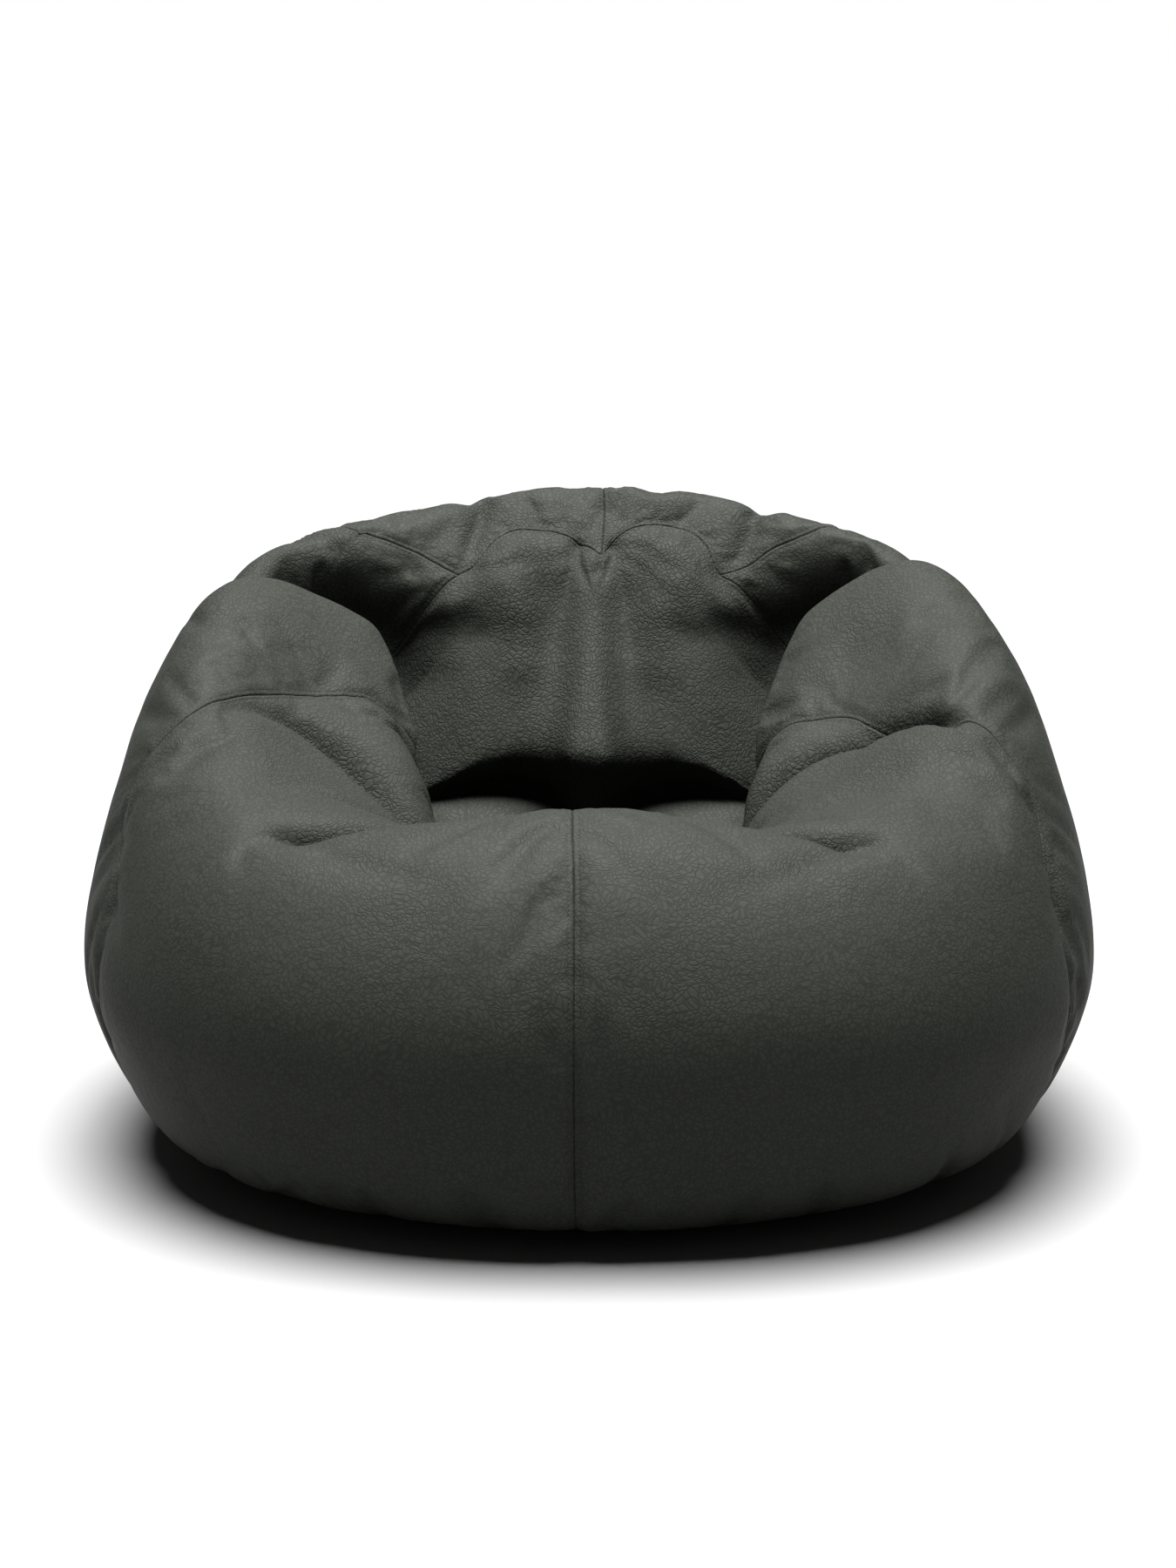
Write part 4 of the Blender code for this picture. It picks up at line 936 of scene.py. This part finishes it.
def stitch_shape(tree):
    """A plump stitch, one unit each way."""
    return add(tree, "GeometryNodeMeshUVSphere", {"Segments": 6, "Rings": 4, "Radius": 0.5}).outputs["Mesh"]


def coil_shape(tree):
    """One turn of a zip's coil, one unit across, standing on the line."""
    ring = add(tree, "GeometryNodeCurvePrimitiveCircle", {"Resolution": 8, "Radius": 0.4}).outputs[0]
    wire = add(tree, "GeometryNodeCurvePrimitiveCircle", {"Resolution": 4, "Radius": 0.1}).outputs[0]
    turn = add(tree, "GeometryNodeCurveToMesh", {"Curve": ring, "Profile Curve": wire}).outputs[0]
    upright = add(tree, "GeometryNodeTransform", {"Geometry": turn, "Rotation": (0.0, math.pi / 2, 0.0)})
    return upright.outputs[0]


def repeat_along(name, lines, shape, sizes, material):
    """Repeats a small shape along lines with Geometry Nodes, and bakes it to one plain mesh."""
    holder = line_object(name + "_lines", lines)
    tree = bpy.data.node_groups.new(name, "GeometryNodeTree")
    tree.interface.new_socket("Geometry", in_out="INPUT", socket_type="NodeSocketGeometry")
    for label in sizes:
        tree.interface.new_socket(label, in_out="INPUT", socket_type="NodeSocketFloat")
    tree.interface.new_socket("Geometry", in_out="OUTPUT", socket_type="NodeSocketGeometry")
    given = add(tree, "NodeGroupInput").outputs
    curve = add(tree, "GeometryNodeMeshToCurve", {"Mesh": given["Geometry"]}).outputs[0]
    spaced = add(tree, "GeometryNodeResampleCurve", {"Curve": curve, "Length": given["Spacing"]},
                 mode="LENGTH")
    tangent = add(tree, "GeometryNodeInputTangent").outputs[0]
    outward = add(tree, "GeometryNodeInputNamedAttribute", {"Name": "outward"}, data_type="FLOAT_VECTOR")
    turn = add(tree, "FunctionNodeAlignRotationToVector", {"Vector": tangent}, axis="X")
    turn = add(tree, "FunctionNodeAlignRotationToVector",
               {"Rotation": turn.outputs[0], "Vector": outward.outputs["Attribute"]},
               axis="Z", pivot_axis="X")
    size = add(tree, "ShaderNodeCombineXYZ",
               {"X": given["Length"], "Y": given["Width"], "Z": given["Height"]})
    copies = add(tree, "GeometryNodeInstanceOnPoints",
                 {"Points": spaced.outputs[0], "Instance": shape(tree), "Rotation": turn.outputs[0],
                  "Scale": size.outputs[0]})
    solid = add(tree, "GeometryNodeRealizeInstances", {"Geometry": copies.outputs[0]}).outputs[0]
    solid = add(tree, "GeometryNodeSetShadeSmooth", {"Geometry": solid}).outputs[0]
    done = add(tree, "GeometryNodeSetMaterial", {"Geometry": solid, "Material": material}).outputs[0]
    add(tree, "NodeGroupOutput", {"Geometry": done})
    modifier = holder.modifiers.new(name, "NODES")
    modifier.node_group = tree
    for item in tree.interface.items_tree:
        if item.in_out == "INPUT" and item.name in sizes:
            modifier[item.identifier] = sizes[item.name]
    evaluated = holder.evaluated_get(bpy.context.evaluated_depsgraph_get())
    mesh = bpy.data.meshes.new_from_object(evaluated)
    mesh.name = name
    made = bpy.data.objects.new(name, mesh)
    bpy.context.scene.collection.objects.link(made)
    bpy.data.objects.remove(holder)
    return made


STITCH_SIZES = {"Spacing": 4.7 * MM, "Length": 3.2 * MM, "Width": 1.1 * MM, "Height": 0.7 * MM}
STITCH_LIFT = 0.1
raised = [(line + outward * STITCH_LIFT * MM, outward) for line, outward in stitch_lines]
stitches = repeat_along("cover_topstitching", raised, stitch_shape, STITCH_SIZES, thread)
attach(stitches, "chair")


# ------------------------------------------------------------------ zip strips
def strip_shape(name):
    """Ends' angles, radius, thickness, middle and width of a zip strip on its arc."""
    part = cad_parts[name].data
    places = np.array([vertex.co[:] for vertex in part.vertices])
    radius = np.hypot(places[:, 1] - ARC_Y, places[:, 2] - ARC_HEIGHT)
    angle = np.arctan2(places[:, 2] - ARC_HEIGHT, places[:, 1] - ARC_Y)
    low, high = places[:, 0].min(), places[:, 0].max()
    return (angle.min(), angle.max(), (radius.min() + radius.max()) / 2, radius.max() - radius.min(),
            (low + high) / 2, high - low)


def on_arc(angle, radius, x):
    """Points on the zips' arc."""
    angle, radius, x = np.broadcast_arrays(angle, radius, x)
    return np.stack([x, ARC_Y + radius * np.cos(angle), ARC_HEIGHT + radius * np.sin(angle)], -1)


TURN_LENGTH, TURN_WIDTH, TURN_HEIGHT = 1.7, 0.92, 0.84


def make_coil(name, pitch):
    """A row of coil turns in place of a zip's plain tooth strip."""
    start, end, radius, thick, middle, width = strip_shape(name)
    angle = np.linspace(start + pitch / radius, end - pitch / radius, 160)
    line = on_arc(angle, radius, middle)
    outward = on_arc(angle, 1.0, 0.0) - on_arc(angle, 0.0, 0.0)
    sizes = {"Spacing": pitch, "Length": TURN_LENGTH * pitch, "Width": TURN_WIDTH * width,
             "Height": TURN_HEIGHT * thick}
    frame_piece(repeat_along(name, [(line, outward)], coil_shape, sizes, nylon), name)


TAPE_ROWS = 200
TAPE_COLUMNS = 14


def make_tape(name):
    """A woven zip tape with a raised cord along each edge."""
    start, end, radius, thick, middle, width = strip_shape(name)
    angle = np.linspace(start, end, TAPE_ROWS)[:, None]
    across = np.linspace(-1.0, 1.0, TAPE_COLUMNS)[None, :]
    swell = 0.5 * thick * (0.72 + 0.28 * np.abs(across) ** 6)
    x = middle + across * width / 2
    grids = [on_arc(angle, radius + side * swell, x) for side in (-1, 1)]
    count = TAPE_ROWS * TAPE_COLUMNS
    faces = np.concatenate([grid_faces(TAPE_ROWS, TAPE_COLUMNS),
                            grid_faces(TAPE_ROWS, TAPE_COLUMNS, count, True),
                            rim_faces(TAPE_ROWS, TAPE_COLUMNS, count)])
    made = add_object(name, np.concatenate([grid.reshape(-1, 3) for grid in grids]), faces)
    made.data.materials.append(tape_cloth)
    frame_piece(made, name)


def frame_piece(piece, node):
    """Stands a piece on the chair in place of a node."""
    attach(piece, "chair")
    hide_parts(node)


for zip_name, coil_pitch in (("cover_zip", 1.5 * MM), ("liner_zip", 1.2 * MM)):
    for side_name in ("left", "right"):
        make_coil(zip_name + "_coil_" + side_name, coil_pitch)
        make_tape(zip_name + "_tape_" + side_name)

# ------------------------------------------------------------------ care label
LABEL_AZIMUTH, LABEL_LEVEL = 150.0, 3.1
LABEL_WIDTH, LABEL_LENGTH, LABEL_THICKNESS = 30 * MM, 45 * MM, 0.6 * MM


def make_label():
    """A blank cloth label sewn to the cover by its top edge."""
    here = form(LABEL_AZIMUTH, LABEL_LEVEL)
    per_degree = np.linalg.norm(form(LABEL_AZIMUTH + 1, LABEL_LEVEL) - here)
    per_level = np.linalg.norm(form(LABEL_AZIMUTH, LABEL_LEVEL + 0.1) - here) * 10
    down = np.linspace(0.0, 1.0, 25)[:, None]
    across = np.linspace(-0.5, 0.5, 17)[None, :]
    azimuth = LABEL_AZIMUTH + across * LABEL_WIDTH / per_degree + 0 * down
    level = LABEL_LEVEL + (0.5 - down) * LABEL_LENGTH / per_level + 0 * across
    points, normals, _ = folded(azimuth, level)
    lift = (1.4 + 1.6 * down ** 2 + 0.5 * np.sin(7 * across + 2 * down) * down) * MM
    outer = points + normals * (lift + LABEL_THICKNESS)[..., None]
    inner = points + normals * lift[..., None]
    rows, columns = azimuth.shape
    faces = np.concatenate([grid_faces(rows, columns, 0, True), grid_faces(rows, columns, rows * columns),
                            rim_faces(rows, columns, rows * columns)[:, ::-1]])
    made = add_object("care_label", np.concatenate([outer.reshape(-1, 3), inner.reshape(-1, 3)]), faces)
    made.data.materials.append(label_cloth)
    frame_piece(made, "care_label")
    near_top = outer[2], normals[2]
    sizes = {"Spacing": 3.0 * MM, "Length": 2.3 * MM, "Width": 0.6 * MM, "Height": 0.5 * MM}
    return repeat_along("care_label_stitches", [near_top], stitch_shape, sizes, thread)


label_stitches = make_label()
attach(label_stitches, "chair")

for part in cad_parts.values():
    if not part.hide_render:
        part.data.materials.clear()
        part.data.materials.append(metal)


# -------------------------------------------------------------- stage and light
def add_stage():
    """A wide, pale, matt floor."""
    made, tree = new_material("floor")
    close_material(tree, add(tree, "ShaderNodeBsdfDiffuse", {"Color": FLOOR_TONE}))
    floor = add_object("floor", [(-FLOOR_REACH, -FLOOR_REACH, 0), (FLOOR_REACH, -FLOOR_REACH, 0),
                                 (FLOOR_REACH, FLOOR_REACH, 0), (-FLOOR_REACH, FLOOR_REACH, 0)],
                       [(0, 1, 2, 3)], False)
    floor.data.materials.append(made)


FLOOR_REACH = 30.0
FLOOR_TONE = (0.30, 0.30, 0.30, 1.0)
FILL_LIGHT = 0.05
add_stage()
sky = bpy.data.lights.new("overhead", "SUN")
sky.energy = 10.7
sky.angle = math.radians(42)
lamp = bpy.data.objects.new("overhead", sky)
bpy.context.scene.collection.objects.link(lamp)
box = bpy.data.lights.new("softbox", "AREA")
box.size = 1.0
box.energy = 25.0
softbox = bpy.data.objects.new("softbox", box)
softbox.location = (0.0, 0.08, 1.45)
softbox.visible_camera = False
bpy.context.scene.collection.objects.link(softbox)
world = bpy.data.worlds.new("studio")
bpy.context.scene.world = world
world.use_nodes = True
backdrop = world.node_tree.nodes["Background"]
backdrop.inputs["Color"].default_value = (1, 1, 1, 1)
seen = add(world.node_tree, "ShaderNodeLightPath").outputs["Is Camera Ray"]
shine = add(world.node_tree, "ShaderNodeMapRange", {"Value": seen, "To Min": FILL_LIGHT, "To Max": 1.0})
world.node_tree.links.new(shine.outputs[0], backdrop.inputs["Strength"])
bpy.context.scene.view_settings.view_transform = "Standard"

# ---------------------------------------------------------------------- camera
CAMERA_RISE = math.radians(13.0)
CAMERA_DISTANCE = 3.6
CAMERA_AIM_HEIGHT = 0.33
lens = bpy.data.cameras.new("camera")
lens.sensor_width = 36.0
lens.lens = 36.0 * CAMERA_DISTANCE / 1.5859
lens.shift_y = 0.0178
camera = bpy.data.objects.new("camera", lens)
camera.location = (0.0, -CAMERA_DISTANCE * math.cos(CAMERA_RISE),
                   CAMERA_AIM_HEIGHT + CAMERA_DISTANCE * math.sin(CAMERA_RISE))
camera.rotation_euler = (math.pi / 2 - CAMERA_RISE, 0.0, 0.0)
bpy.context.scene.collection.objects.link(camera)
bpy.context.scene.camera = camera
